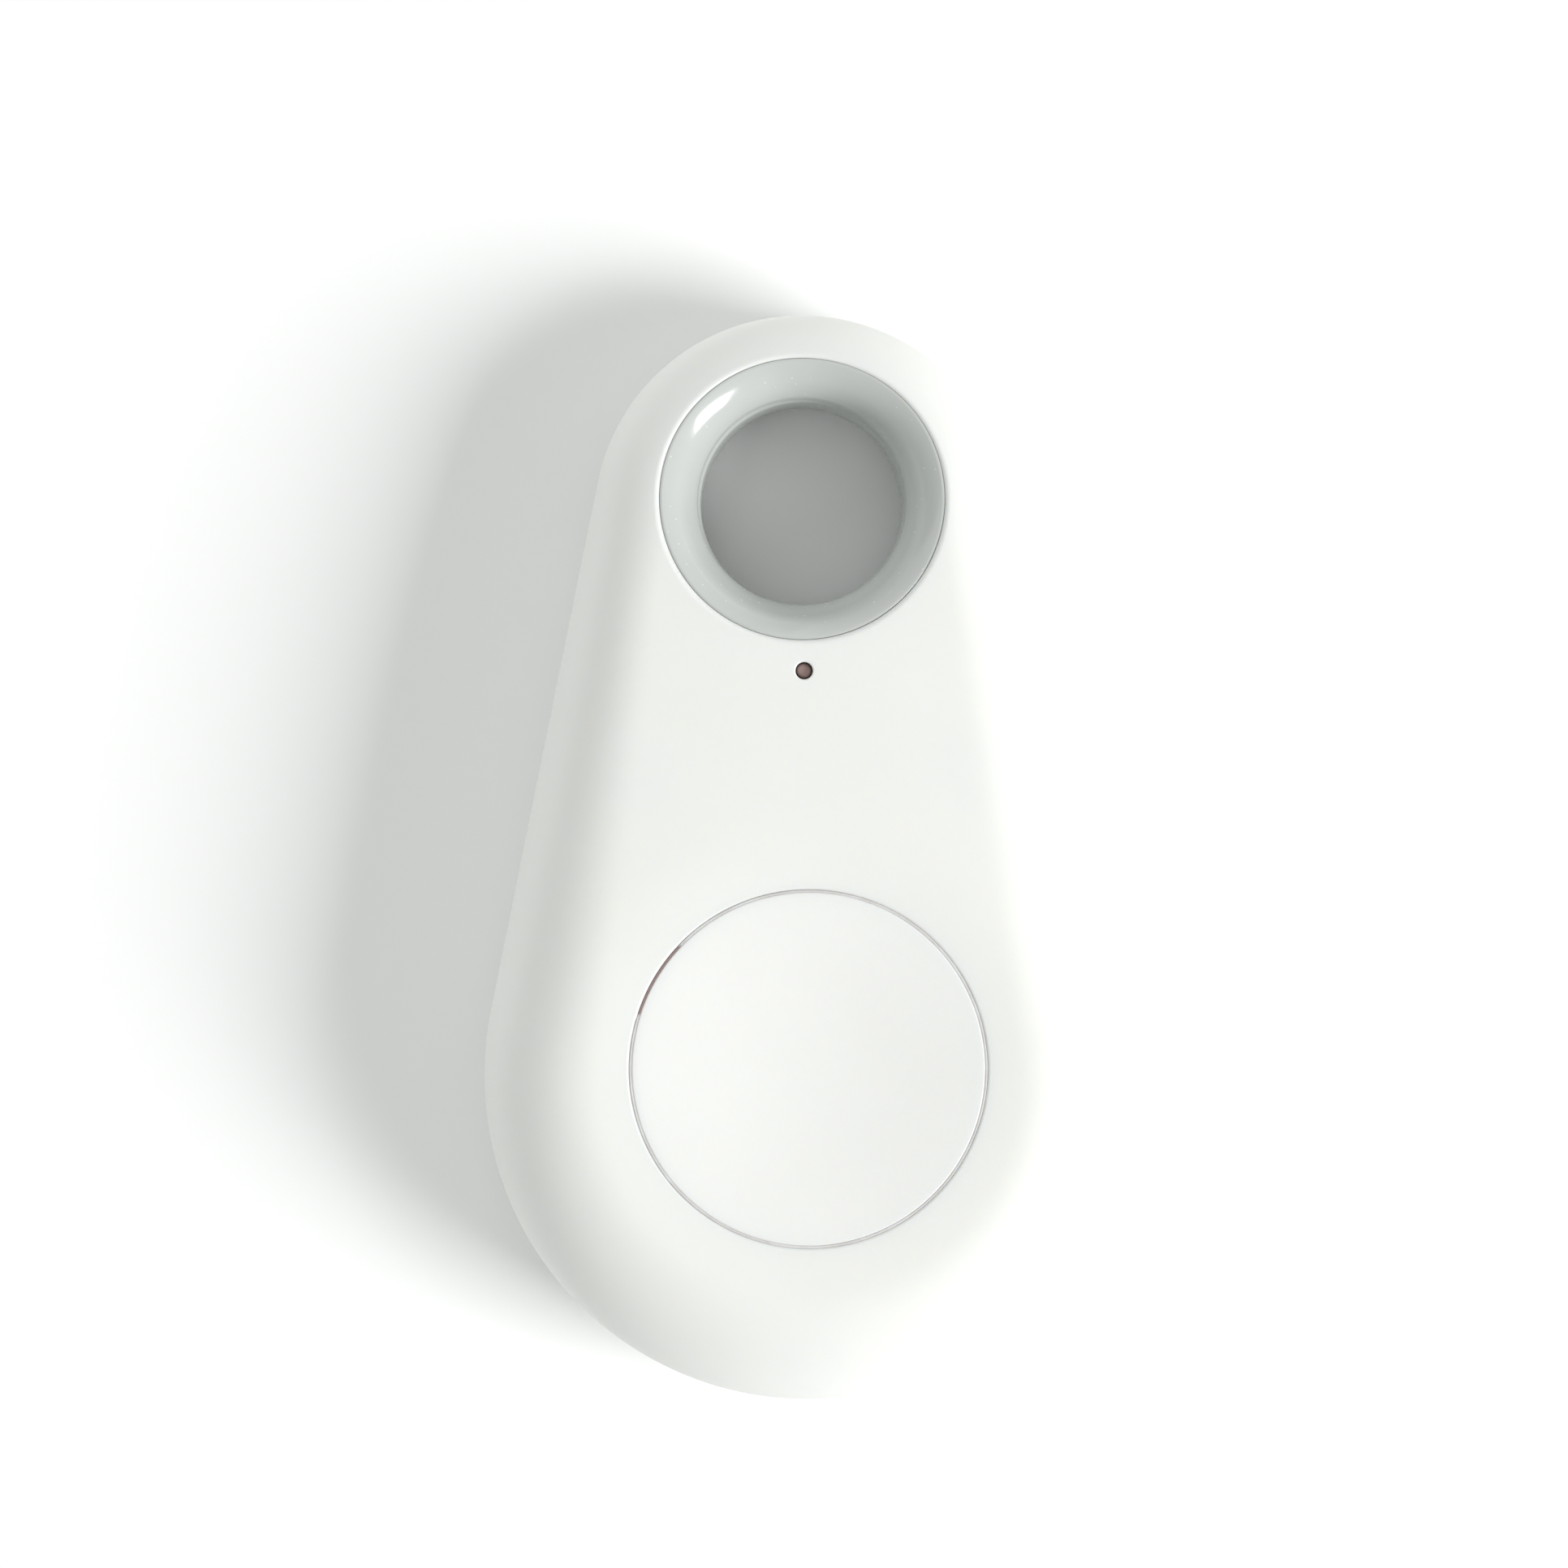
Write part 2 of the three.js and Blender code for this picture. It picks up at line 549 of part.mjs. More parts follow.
function switchHousing() {
  const body = block(SWITCH_SIZE, SWITCH_SIZE, BOARD_TOP, SWITCH_TOP, 0, BUTTON_CENTRE_Y);
  return cut(body, rod(DOME_RADIUS + FIT_GAP, 0, BUTTON_CENTRE_Y, DOME_SEAT, FAR, 32));
}

function switchDome() {
  const steps = [0, 0.25, 0.5, 0.75, 1];
  const rise = (share) => DOME_SEAT + DOME_RISE * (1 - share * share);
  const outer = steps.map((share) => [DOME_RADIUS * share, Math.max(rise(share), DOME_SEAT + 0.02)]);
  const inner = steps.map((share) => [
    (DOME_RADIUS - DOME_METAL) * share,
    rise(share) - DOME_METAL * (1 - share),
  ]);
  return turned([...outer, ...inner.reverse()], 0, BUTTON_CENTRE_Y, 20);
}

function switchPlunger() {
  const profile = [
    [0, PLUNGER_BOTTOM],
    [DOME_RADIUS - FIT_GAP, PLUNGER_BOTTOM],
    [DOME_RADIUS - FIT_GAP, SWITCH_TOP - TOUCH_GAP],
    [PLUNGER_RADIUS, SWITCH_TOP - TOUCH_GAP],
    [PLUNGER_RADIUS, PLUNGER_TOP],
    [0, PLUNGER_TOP],
  ];
  return turned(profile, 0, BUTTON_CENTRE_Y, 20);
}

function switchFrame() {
  const plate = block(SWITCH_SIZE, SWITCH_SIZE, SWITCH_TOP, FRAME_TOP, 0, BUTTON_CENTRE_Y);
  return cut(plate, rod(PLUNGER_RADIUS + FIT_GAP, 0, BUTTON_CENTRE_Y, 0, FAR, 28));
}

// ---- beeper ----
const BUZZER_FLOOR = BOARD_TOP + 0.5;
const BUZZER_ROOM = BUZZER_SIZE / 2 - 0.45;
const YOKE_TOP = BUZZER_FLOOR + 0.3;
const DIAPHRAGM_Z = BUZZER_TOP - 0.75;

const buzzerBase = () => block(BUZZER_SIZE, BUZZER_SIZE, BOARD_TOP, BUZZER_FLOOR, 0, BUZZER_Y);

function buzzerYoke() {
  const radius = BUZZER_ROOM - FIT_GAP;
  const profile = [
    [0, BUZZER_FLOOR],
    [radius, BUZZER_FLOOR],
    [radius, YOKE_TOP],
    [0.8, YOKE_TOP],
    [0.8, DIAPHRAGM_Z - 0.2],
    [0, DIAPHRAGM_Z - 0.2],
  ];
  return turned(profile, 0, BUZZER_Y, 20);
}

const buzzerCoil = () => pipe(0.8 + TOUCH_GAP, 1.8, 0, BUZZER_Y, YOKE_TOP + TOUCH_GAP, DIAPHRAGM_Z - 0.3, 24);
const buzzerMagnet = () => pipe(2.1, BUZZER_ROOM - FIT_GAP, 0, BUZZER_Y, YOKE_TOP, DIAPHRAGM_Z - TOUCH_GAP, 28);

function buzzerDiaphragm() {
  const radius = BUZZER_ROOM - FIT_GAP;
  const profile = [
    [0, DIAPHRAGM_Z],
    [radius, DIAPHRAGM_Z],
    [radius, DIAPHRAGM_Z + 0.06],
    [1.2, DIAPHRAGM_Z + 0.06],
    [1.2, DIAPHRAGM_Z + 0.25],
    [0, DIAPHRAGM_Z + 0.25],
  ];
  return turned(profile, 0, BUZZER_Y, 20);
}

function buzzerCase() {
  const body = block(BUZZER_SIZE, BUZZER_SIZE, BUZZER_FLOOR, BUZZER_TOP, 0, BUZZER_Y);
  const port = block(2.4, BUZZER_SIZE, DIAPHRAGM_Z + 0.1, BUZZER_TOP - 0.25, 0, BUZZER_Y + BUZZER_SIZE / 2);
  return cut(body, rod(BUZZER_ROOM, 0, BUZZER_Y, 0, BUZZER_TOP - 0.3, 32), port);
}

// ---- small parts on the board ----
const CHIP_X = -7.4;
const CHIP_Y = BUTTON_CENTRE_Y - 2.6;

const onBoard = (width, depth, height, x, y) => block(width, depth, BOARD_TOP, BOARD_TOP + height, x, y);

function antennaTrace() {
  const outer = WIDE_RADIUS - WALL - 1.0;
  return sector(outer - 0.8, outer, -68, -18, 0, WIDE_Y, BOARD_TOP, BOARD_TOP + 0.07);
}

const LED_HEIGHT = 0.35;
const ledPackage = () => onBoard(1.6, 0.8, LED_HEIGHT, 0, PIN_HOLE_Y);
// a clear block on the light, with a guide pin up into the pin hole
function ledLens() {
  const foot = block(1.0, 0.7, BOARD_TOP + LED_HEIGHT, BOARD_TOP + 2 * LED_HEIGHT, 0, PIN_HOLE_Y);
  const tip = frontZ(0, PIN_HOLE_Y) - LIGHT_GUIDE_SINK;
  return join(foot, rod(PIN_HOLE_RADIUS - TOUCH_GAP, 0, PIN_HOLE_Y, BOARD_TOP + LED_HEIGHT, tip, 16));
}

const CAPACITORS = 6;
const RESISTORS = 4;
const capacitor = (i) => onBoard(1.0, 0.5, 0.5, 5.2 + 1.7 * (i % 2), BUTTON_CENTRE_Y - 4 + 1.6 * Math.floor(i / 2));
const resistor = (i) => onBoard(0.5, 1.0, 0.35, 4.6 + 1.1 * i, BUTTON_CENTRE_Y + 2.8);

// ---- cell and contacts ----
const HOLDER_LOW = CELL_BOTTOM + 0.3;

function batteryHolder() {
  const ring = pipe(HOLDER_INNER, HOLDER_RADIUS, 0, CELL_CENTRE_Y, HOLDER_LOW, BOARD_BOTTOM, 40);
  const contactGap = block(2 * HOLDER_WALL, CONTACT_WIDTH + 0.4, 0, FAR, HOLDER_INNER + HOLDER_WALL / 2, CELL_CENTRE_Y);
  const fingerGap = block(8, 2.5 * HOLDER_WALL, 0, CELL_TOP, 0, CELL_CENTRE_Y + HOLDER_RADIUS);
  return cut(ring, contactGap, fingerGap);
}

// a strip bent in the x, z plane, as wide as the contacts
function bentStrip(points, y) {
  const shape = new THREE.Shape(points.map(([x, z]) => new THREE.Vector2(x, z)));
  const geometry = new THREE.ExtrudeGeometry(shape, { depth: CONTACT_WIDTH, bevelEnabled: false });
  geometry.rotateX(Math.PI / 2);
  geometry.translate(0, y + CONTACT_WIDTH / 2, 0);
  return toSolid(geometry);
}

function positiveContact() {
  const near = CELL_RADIUS + FIT_GAP;
  const far = near + CONTACT_METAL;
  const under = BOARD_BOTTOM - CONTACT_METAL;
  const lean = 0.35;
  return bentStrip(
    [
      [near + lean, CELL_BOTTOM + 0.4],
      [far + lean, CELL_BOTTOM + 0.4],
      [far, CELL_BOTTOM + 1.4],
      [far, under],
      [far + 1.3, under],
      [far + 1.3, BOARD_BOTTOM],
      [near, BOARD_BOTTOM],
      [near, CELL_BOTTOM + 1.4],
    ],
    CELL_CENTRE_Y,
  );
}

function negativeContact() {
  const under = BOARD_BOTTOM - CONTACT_METAL;
  const low = CELL_TOP + TOUCH_GAP;
  return bentStrip(
    [
      [-7, under],
      [-4, under],
      [0, low],
      [1.4, low],
      [2.2, low + 0.35],
      [2.2, low + 0.35 + CONTACT_METAL],
      [1.3, low + CONTACT_METAL],
      [0.05, low + CONTACT_METAL],
      [-3.9, BOARD_BOTTOM],
      [-7, BOARD_BOTTOM],
    ],
    CELL_CENTRE_Y,
  );
}

const CAN_INNER = CELL_RADIUS - CELL_METAL;
const CAP_RADIUS = CELL_RADIUS - 0.8;

function cellCan() {
  const profile = [
    [0, CELL_BOTTOM],
    [CELL_RADIUS - 0.25, CELL_BOTTOM],
    [CELL_RADIUS, CELL_BOTTOM + 0.25],
    [CELL_RADIUS, CELL_TOP - 0.35],
    [CELL_RADIUS - 0.35, CELL_TOP - 0.12],
    [CELL_RADIUS - 0.6, CELL_TOP - 0.12],
    [CELL_RADIUS - 0.6, CELL_TOP - 0.3],
    [CAN_INNER, CELL_TOP - 0.45],
    [CAN_INNER, CELL_BOTTOM + CELL_METAL],
    [0, CELL_BOTTOM + CELL_METAL],
  ];
  return turned(profile, 0, CELL_CENTRE_Y, 40);
}

const cellGasket = () =>
  pipe(CAP_RADIUS + 0.03, CAN_INNER - 0.03, 0, CELL_CENTRE_Y, CELL_BOTTOM + 0.35, CELL_TOP - 0.5, 40);

function cellCap() {
  const wall = CAP_RADIUS - CELL_METAL;
  const profile = [
    [0, CELL_TOP],
    [CAP_RADIUS - 0.6, CELL_TOP],
    [CAP_RADIUS - 0.25, CELL_TOP - 0.35],
    [CAP_RADIUS, CELL_TOP - 0.5],
    [CAP_RADIUS, CELL_BOTTOM + 0.9],
    [wall, CELL_BOTTOM + 0.9],
    [wall, CELL_TOP - 0.6],
    [CAP_RADIUS - 0.75, CELL_TOP - CELL_METAL],
    [0, CELL_TOP - CELL_METAL],
  ];
  return turned(profile, 0, CELL_CENTRE_Y, 40);
}

const PELLET_RADIUS = CAP_RADIUS - CELL_METAL - 0.6;
const PELLET_LOW = CELL_BOTTOM + CELL_METAL;
const PELLET_TOP = PELLET_LOW + 1.7;
const SEPARATOR_TOP = PELLET_TOP + 0.15;
const disc = (low, high) => rod(PELLET_RADIUS, 0, CELL_CENTRE_Y, low, high, 28);
const cathodePellet = () => disc(PELLET_LOW, PELLET_TOP);
const separatorDisc = () => disc(PELLET_TOP, SEPARATOR_TOP);
const lithiumDisc = () => disc(SEPARATOR_TOP, CELL_TOP - CELL_METAL);

// ---- materials ----
const finish = (color, roughness, metalness) => new THREE.MeshStandardMaterial({ color, roughness, metalness });
const FINISHES = {
  shell: () => finish(0xf1f1ee, 0.45, 0),
  eyelet: () => finish(0xc4c8c2, 0.12, 0),
  board: () => finish(0x16523a, 0.4, 0),
  darkPlastic: () => finish(0x1b1c1e, 0.5, 0),
  holder: () => finish(0x2a2b2d, 0.55, 0),
  steel: () => finish(0xb9bcc0, 0.3, 1),
  gold: () => finish(0xc9a04c, 0.3, 1),
  copper: () => finish(0xb5703c, 0.35, 1),
  magnet: () => finish(0x4a4a4d, 0.4, 1),
  ceramic: () => finish(0xa58a66, 0.5, 0),
  resistor: () => finish(0x222328, 0.4, 0),
  lens: () => finish(0xf3ecc4, 0.1, 0),
  cathode: () => finish(0x191919, 0.9, 0),
  paper: () => finish(0xe8e6df, 0.8, 0),
  lithium: () => finish(0xa9abad, 0.5, 1),
};

// ---- assembly ----
const tag = new THREE.Group();

function place(name, solid, finishName) {
  const mesh = new THREE.Mesh(toGeometry(solid), FINISHES[finishName]());
  mesh.name = name;
  tag.add(mesh);
}

place('front_shell', frontShell(), 'shell');
place('rear_cover', rearCover(), 'shell');
place('eyelet_ring', eyeletRing(), 'eyelet');
place('button_cap', buttonCap(), 'shell');
place('circuit_board', circuitBoard(), 'board');
place('switch_housing', switchHousing(), 'darkPlastic');
place('switch_dome', switchDome(), 'steel');
place('switch_plunger', switchPlunger(), 'darkPlastic');
place('switch_frame', switchFrame(), 'steel');
place('buzzer_base', buzzerBase(), 'darkPlastic');
place('buzzer_yoke', buzzerYoke(), 'steel');
place('buzzer_coil', buzzerCoil(), 'copper');
place('buzzer_magnet', buzzerMagnet(), 'magnet');
place('buzzer_diaphragm', buzzerDiaphragm(), 'steel');
place('buzzer_case', buzzerCase(), 'darkPlastic');
place('led_package', ledPackage(), 'paper');
place('led_lens', ledLens(), 'lens');
place('radio_chip', onBoard(CHIP_SIZE, CHIP_SIZE, 0.85, CHIP_X, CHIP_Y), 'darkPlastic');
place('crystal', onBoard(3.2, 2.5, 0.7, CHIP_X, CHIP_Y + CHIP_SIZE / 2 + 2.2), 'steel');
place('sleep_crystal', onBoard(3.2, 1.5, 0.75, CHIP_X + 1.6, CHIP_Y - CHIP_SIZE / 2 - 1.6), 'steel');
place('antenna_trace', antennaTrace(), 'gold');
for (let i = 0; i < CAPACITORS; i += 1) place(`capacitor_${i + 1}`, capacitor(i), 'ceramic');
for (let i = 0; i < RESISTORS; i += 1) place(`resistor_${i + 1}`, resistor(i), 'resistor');
place('inductor', onBoard(1.6, 0.8, 0.8, 6.0, BUTTON_CENTRE_Y - 6.2), 'darkPlastic');
place('battery_holder', batteryHolder(), 'holder');
place('positive_contact', positiveContact(), 'gold');
place('negative_contact', negativeContact(), 'gold');
place('cell_can', cellCan(), 'steel');
place('cell_gasket', cellGasket(), 'darkPlastic');
place('cell_cap', cellCap(), 'steel');
place('cathode_pellet', cathodePellet(), 'cathode');
place('separator_disc', separatorDisc(), 'paper');
place('lithium_disc', lithiumDisc(), 'lithium');
BOSSES.forEach((boss, i) => place(`board_screw_${i + 1}`, boardScrew(boss), 'steel'));

export default tag;
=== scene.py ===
"""Looks of the teardrop tracker tag: its shells, button and key-ring lining, and the parts inside."""
import json
import math

import bmesh
import bpy
from mathutils import Matrix, Vector


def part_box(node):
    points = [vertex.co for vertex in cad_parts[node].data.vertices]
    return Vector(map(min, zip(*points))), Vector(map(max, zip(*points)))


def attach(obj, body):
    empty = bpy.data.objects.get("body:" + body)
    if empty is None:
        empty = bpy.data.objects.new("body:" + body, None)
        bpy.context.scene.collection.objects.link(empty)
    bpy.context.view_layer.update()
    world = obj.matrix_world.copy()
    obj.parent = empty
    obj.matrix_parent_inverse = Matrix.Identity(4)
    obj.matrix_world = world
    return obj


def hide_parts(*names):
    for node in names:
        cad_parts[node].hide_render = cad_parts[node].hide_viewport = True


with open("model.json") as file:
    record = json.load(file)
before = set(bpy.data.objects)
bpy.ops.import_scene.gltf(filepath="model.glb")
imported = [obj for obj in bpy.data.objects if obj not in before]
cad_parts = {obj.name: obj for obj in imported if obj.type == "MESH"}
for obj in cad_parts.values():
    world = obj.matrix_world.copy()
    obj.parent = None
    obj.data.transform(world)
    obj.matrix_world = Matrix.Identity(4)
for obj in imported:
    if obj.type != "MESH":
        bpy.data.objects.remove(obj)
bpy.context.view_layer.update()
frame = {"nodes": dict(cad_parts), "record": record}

MM = 0.001
IDENTITY = Matrix.Identity(4)

# ---- sizes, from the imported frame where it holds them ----
shell_low, shell_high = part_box("front_shell")
rear_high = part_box("rear_cover")[1]
button_low, button_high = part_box("button_cap")
eyelet_low, eyelet_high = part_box("eyelet_ring")
LENGTH = shell_high.y - shell_low.y
WIDE_RADIUS = (shell_high.x - shell_low.x) / 2
RING_END_RADIUS = 10.0 * MM
WIDE_Y = shell_low.y + WIDE_RADIUS
RING_END_Y = shell_high.y - RING_END_RADIUS
SPINE = RING_END_Y - WIDE_Y
FLANK_SINE = (WIDE_RADIUS - RING_END_RADIUS) / SPINE
FLANK_COSINE = math.sqrt(1 - FLANK_SINE ** 2)
WALL = 1.2 * MM
SEAM_Z = shell_low.z
BUTTON_Y = (button_low.y + button_high.y) / 2
BUTTON_OPENING = 8.4 * MM
BUTTON_GAP = 0.13 * MM
EYELET_Y = (eyelet_low.y + eyelet_high.y) / 2
EYELET_RADIUS = (eyelet_high.x - eyelet_low.x) / 2
EYELET_OPENING = EYELET_RADIUS + 0.05 * MM
RING_HOLE_RADIUS = 4.9 * MM
PIN_Y = (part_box("led_package")[0].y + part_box("led_package")[1].y) / 2
PIN_RADIUS = 0.41 * MM

# ---- the front surface ----
HEIGHT = 11.0 * MM
FALL_START_Y = WIDE_Y + 8.5 * MM
RING_FALL = 1.65 * MM
EDGE_SHARE = 0.36
EDGE_DEPTH = 0.72
CROWN_SHARE = 0.8
CROWN_DROP = 0.25 * MM
DISH_RADIUS = 12.0 * MM
DISH_DEPTH = 0.9 * MM


def inset(x, y):
    """Distance from a point inside the outline to the outline."""
    side, up = abs(x), y - WIDE_Y
    along = up * FLANK_COSINE - side * FLANK_SINE
    if along < 0:
        return WIDE_RADIUS - math.hypot(side, up)
    if along > FLANK_COSINE * SPINE:
        return RING_END_RADIUS - math.hypot(side, up - SPINE)
    return WIDE_RADIUS - (side * FLANK_COSINE + up * FLANK_SINE)


def local_radius(x, y):
    """Radius of the circle that would roll there between the two ends."""
    along = (y - WIDE_Y) * FLANK_COSINE - abs(x) * FLANK_SINE
    share = min(max(along / (FLANK_COSINE * SPINE), 0), 1)
    return WIDE_RADIUS + (RING_END_RADIUS - WIDE_RADIUS) * share


def dish(radius):
    reach = min(1, radius / DISH_RADIUS)
    return DISH_DEPTH * (1 - reach ** 2) ** 2


def front_z(x, y):
    share = max(inset(x, y), 0) / local_radius(x, y)
    level = HEIGHT - RING_FALL * (max(0, y - FALL_START_Y) / (EYELET_Y - FALL_START_Y)) ** 2
    lean = max(0, 1 - share / EDGE_SHARE)
    edge = EDGE_DEPTH * (level - SEAM_Z) * (1 - math.sqrt(1 - lean ** 2))
    crown = CROWN_DROP * max(0, 1 - share / CROWN_SHARE) ** 2
    return level - edge - crown - dish(math.hypot(x, y - BUTTON_Y))


# ---- mesh work ----
def finish_piece(bm, name, body, slot, material, replaces=()):
    bmesh.ops.remove_doubles(bm, verts=bm.verts, dist=1e-7)
    bmesh.ops.recalc_face_normals(bm, faces=bm.faces)
    mesh = bpy.data.meshes.new(name)
    bm.to_mesh(mesh)
    bm.free()
    for face in mesh.polygons:
        face.use_smooth = True
    piece = bpy.data.objects.new(name, mesh)
    bpy.context.scene.collection.objects.link(piece)
    mesh.materials.append(material)
    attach(piece, body)
    if replaces:
        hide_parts(*replaces)
    return piece


def new_verts(result):
    return [item for item in result["geom"] if isinstance(item, bmesh.types.BMVert)]


def new_edges(result):
    return [item for item in result["geom"] if isinstance(item, bmesh.types.BMEdge)]


def extend(bm, edges, move):
    """Grows a strip of faces from the edges and moves its far side's points with move(co)."""
    result = bmesh.ops.extrude_edge_only(bm, edges=edges)
    for vert in new_verts(result):
        vert.co = move(vert.co)
    return new_edges(result)


def centre_line(holes, first, last, arc_steps, step):
    """Points up the middle from first to last, round the left of each hole, with their ways out in degrees."""
    line = []
    y = first
    for centre, radius, kind in holes:
        low = centre - radius
        count = max(1, round((low - y) / step))
        if low - y > 1e-6:
            line += [(Vector((0, y + (low - y) * i / count, 0)), 180) for i in range(count)]
        steps = max(8, round(arc_steps * min(1, radius / EYELET_RADIUS + 0.05)))
        for i in range(steps + 1):
            angle = 270 - 180 * i / steps
            turn = math.radians(angle)
            point = Vector((radius * math.cos(turn), centre + radius * math.sin(turn), 0))
            if i in (0, steps):
                point.x = 0
            radial = {"wide": max(angle, 180), "ring": min(angle, 180), "pin": 180}[kind]
            line.append((point, radial))
        y = centre + radius
    count = max(1, round((last - y) / step))
    if last - y > 1e-6:
        line += [(Vector((0, y + (last - y) * i / count, 0)), 180) for i in range(1, count + 1)]
    return line


def reach_outline(point, angle, offset):
    """Where a line from the point first meets the outline moved in by offset."""
    way = Vector((math.cos(math.radians(angle)), math.sin(math.radians(angle)), 0))
    near, far = 0.0, LENGTH
    for _ in range(48):
        middle = (near + far) / 2
        place = point + way * middle
        if inset(place.x, place.y) > offset:
            near = middle
        else:
            far = middle
    return point + way * near


def half_skin(bm, line, offset, rows, height):
    """The left half of a teardrop skin, from the centre line out to the outline, mirrored to a whole one."""
    ends = [reach_outline(point, angle, offset) for point, angle in line]
    for end, (point, angle) in zip(ends, line):
        if abs(point.x) < 1e-9 and abs(end.x) < 1e-6:
            end.x = 0.0
    verts = [bm.verts.new(point) for point, _ in line]
    order = {vert: i for i, vert in enumerate(verts)}
    edges = [bm.edges.new(pair) for pair in zip(verts, verts[1:])]
    for row in range(1, rows + 1):
        share = (1 - math.cos(math.pi * row / rows)) / 2
        result = bmesh.ops.extrude_edge_only(bm, edges=edges)
        fresh = new_verts(result)
        old = {}
        for vert in fresh:
            for edge in vert.link_edges:
                other = edge.other_vert(vert)
                if other in order:
                    old[vert] = order[other]
        for vert, i in old.items():
            vert.co = line[i][0].lerp(ends[i], share)
        order = old
        edges = new_edges(result)
    geometry = list(bm.verts) + list(bm.edges) + list(bm.faces)
    bmesh.ops.mirror(bm, geom=geometry, matrix=IDENTITY, merge_dist=1e-7, axis="X")
    bmesh.ops.remove_doubles(bm, verts=bm.verts, dist=1e-7)
    for vert in bm.verts:
        vert.co.z = height(vert.co.x, vert.co.y)


def rim(bm, centre, radius, high=None):
    """The open edges that lie on a circle about the centre line."""
    def on_it(vert):
        return abs(math.hypot(vert.co.x, vert.co.y - centre) - radius) < 2e-6
    return [edge for edge in bm.edges if edge.is_boundary and all(on_it(vert) for vert in edge.verts)]


def outline_rim(bm, offset):
    def on_it(vert):
        return abs(inset(vert.co.x, vert.co.y) - offset) < 2e-6
    return [edge for edge in bm.edges if edge.is_boundary and all(on_it(vert) for vert in edge.verts)]


def outward(x, y):
    """The way from a point near the outline straight out to it."""
    step = 1e-5
    across = inset(x + step, y) - inset(x - step, y)
    along = inset(x, y + step) - inset(x, y - step)
    return Vector((-across, -along, 0)).normalized()


def spun(bm, profile, centre_y, steps):
    """Turns [radius, z] points about an upright axis on the centre line."""
    verts = [bm.verts.new((radius, centre_y, z)) for radius, z in profile]
    edges = [bm.edges.new(pair) for pair in zip(verts, verts[1:])]
    bmesh.ops.spin(
        bm, geom=verts + edges, cent=(0, centre_y, 0), axis=(0, 0, 1), angle=math.tau, steps=steps,
        use_merge=True
    )


def arc(centre_r, centre_z, radius, start, end, steps):
    """[radius, z] points of a round corner."""
    turns = [math.radians(start + (end - start) * i / steps) for i in range(steps + 1)]
    return [(centre_r + radius * math.cos(turn), centre_z + radius * math.sin(turn)) for turn in turns]


# ---- materials ----
class Wire:
    """A shader value that adds its Math nodes as it is worked with."""

    def __init__(self, finish, socket):
        self.finish = finish
        self.socket = socket

    def worked(self, operation, first, second):
        return self.finish.node("ShaderNodeMath", {"operation": operation}, {0: first, 1: second})

    def __add__(self, other):
        return self.worked("ADD", self, other)

    __radd__ = __add__

    def __sub__(self, other):
        return self.worked("SUBTRACT", self, other)

    def __rsub__(self, other):
        return self.worked("SUBTRACT", other, self)

    def __mul__(self, other):
        return self.worked("MULTIPLY", self, other)

    __rmul__ = __mul__

    def between(self, low, high):
        """0 below low, 1 above high, and smooth from one to the other."""
        values = {"Value": self, "From Min": low, "From Max": high}
        return self.finish.node("ShaderNodeMapRange", {"interpolation_type": "SMOOTHSTEP"}, values)


class Finish:
    """A Principled material. Its arguments are sockets by name, with underscores for spaces."""

    def __init__(self, name, **constants):
        self.material = bpy.data.materials.new(name)
        self.material.use_nodes = True
        self.tree = self.material.node_tree
        self.shader = self.tree.nodes["Principled BSDF"]
        self.feed(**constants)

    def node(self, kind, settings=None, values=None, output=0):
        made = self.tree.nodes.new(kind)
        for key, value in (settings or {}).items():
            setattr(made, key, value)
        for key, value in (values or {}).items():
            self.plug(made.inputs[key], value)
        return Wire(self, made.outputs[output])

    def plug(self, socket, value):
        if isinstance(value, Wire):
            self.tree.links.new(value.socket, socket)
        elif socket.type == "RGBA":
            socket.default_value = (*value, 1)
        else:
            socket.default_value = value

    def feed(self, **values):
        for key, value in values.items():
            self.plug(self.shader.inputs[key.replace("_", " ")], value)

    def place(self, centre=(0, 0, 0), stretch=(1, 1, 1)):
        """Object coordinates about a centre, stretched along each axis."""
        coords = self.node("ShaderNodeTexCoord", output="Object")
        moved = self.node("ShaderNodeVectorMath", {"operation": "SUBTRACT"}, {0: coords, 1: centre})
        return self.node("ShaderNodeVectorMath", {"operation": "MULTIPLY"}, {0: moved, 1: stretch})

    def part_of(self, vector, output):
        return self.node("ShaderNodeSeparateXYZ", None, {"Vector": vector}, output)

    def radius(self, centre):
        """Distance from an upright axis."""
        flat = self.place(centre, (1, 1, 0))
        return self.node("ShaderNodeVectorMath", {"operation": "LENGTH"}, {0: flat}, "Value")

    def noise(self, size, detail=2.0, coords=None):
        """Cloudy values about 0.5 whose grain is size metres."""
        values = {"Vector": coords or self.place(), "Scale": 1 / size, "Detail": detail}
        return self.node("ShaderNodeTexNoise", None, values)

    def cells(self, size):
        """Distance to the nearest of many scattered points, for specks and grit."""
        return self.node("ShaderNodeTexVoronoi", None, {"Vector": self.place(), "Scale": 1 / size})

    def mixed(self, share, first, second):
        """One colour going over to another. The sockets are the mix's factor, colours and colour result."""
        return self.node("ShaderNodeMix", {"data_type": "RGBA"}, {0: share, 6: first, 7: second}, 2)

    def bump(self, height, depth):
        """Raises the surface by up to depth metres where height is 1."""
        self.feed(Normal=self.node("ShaderNodeBump", None, {"Height": height, "Distance": depth}))


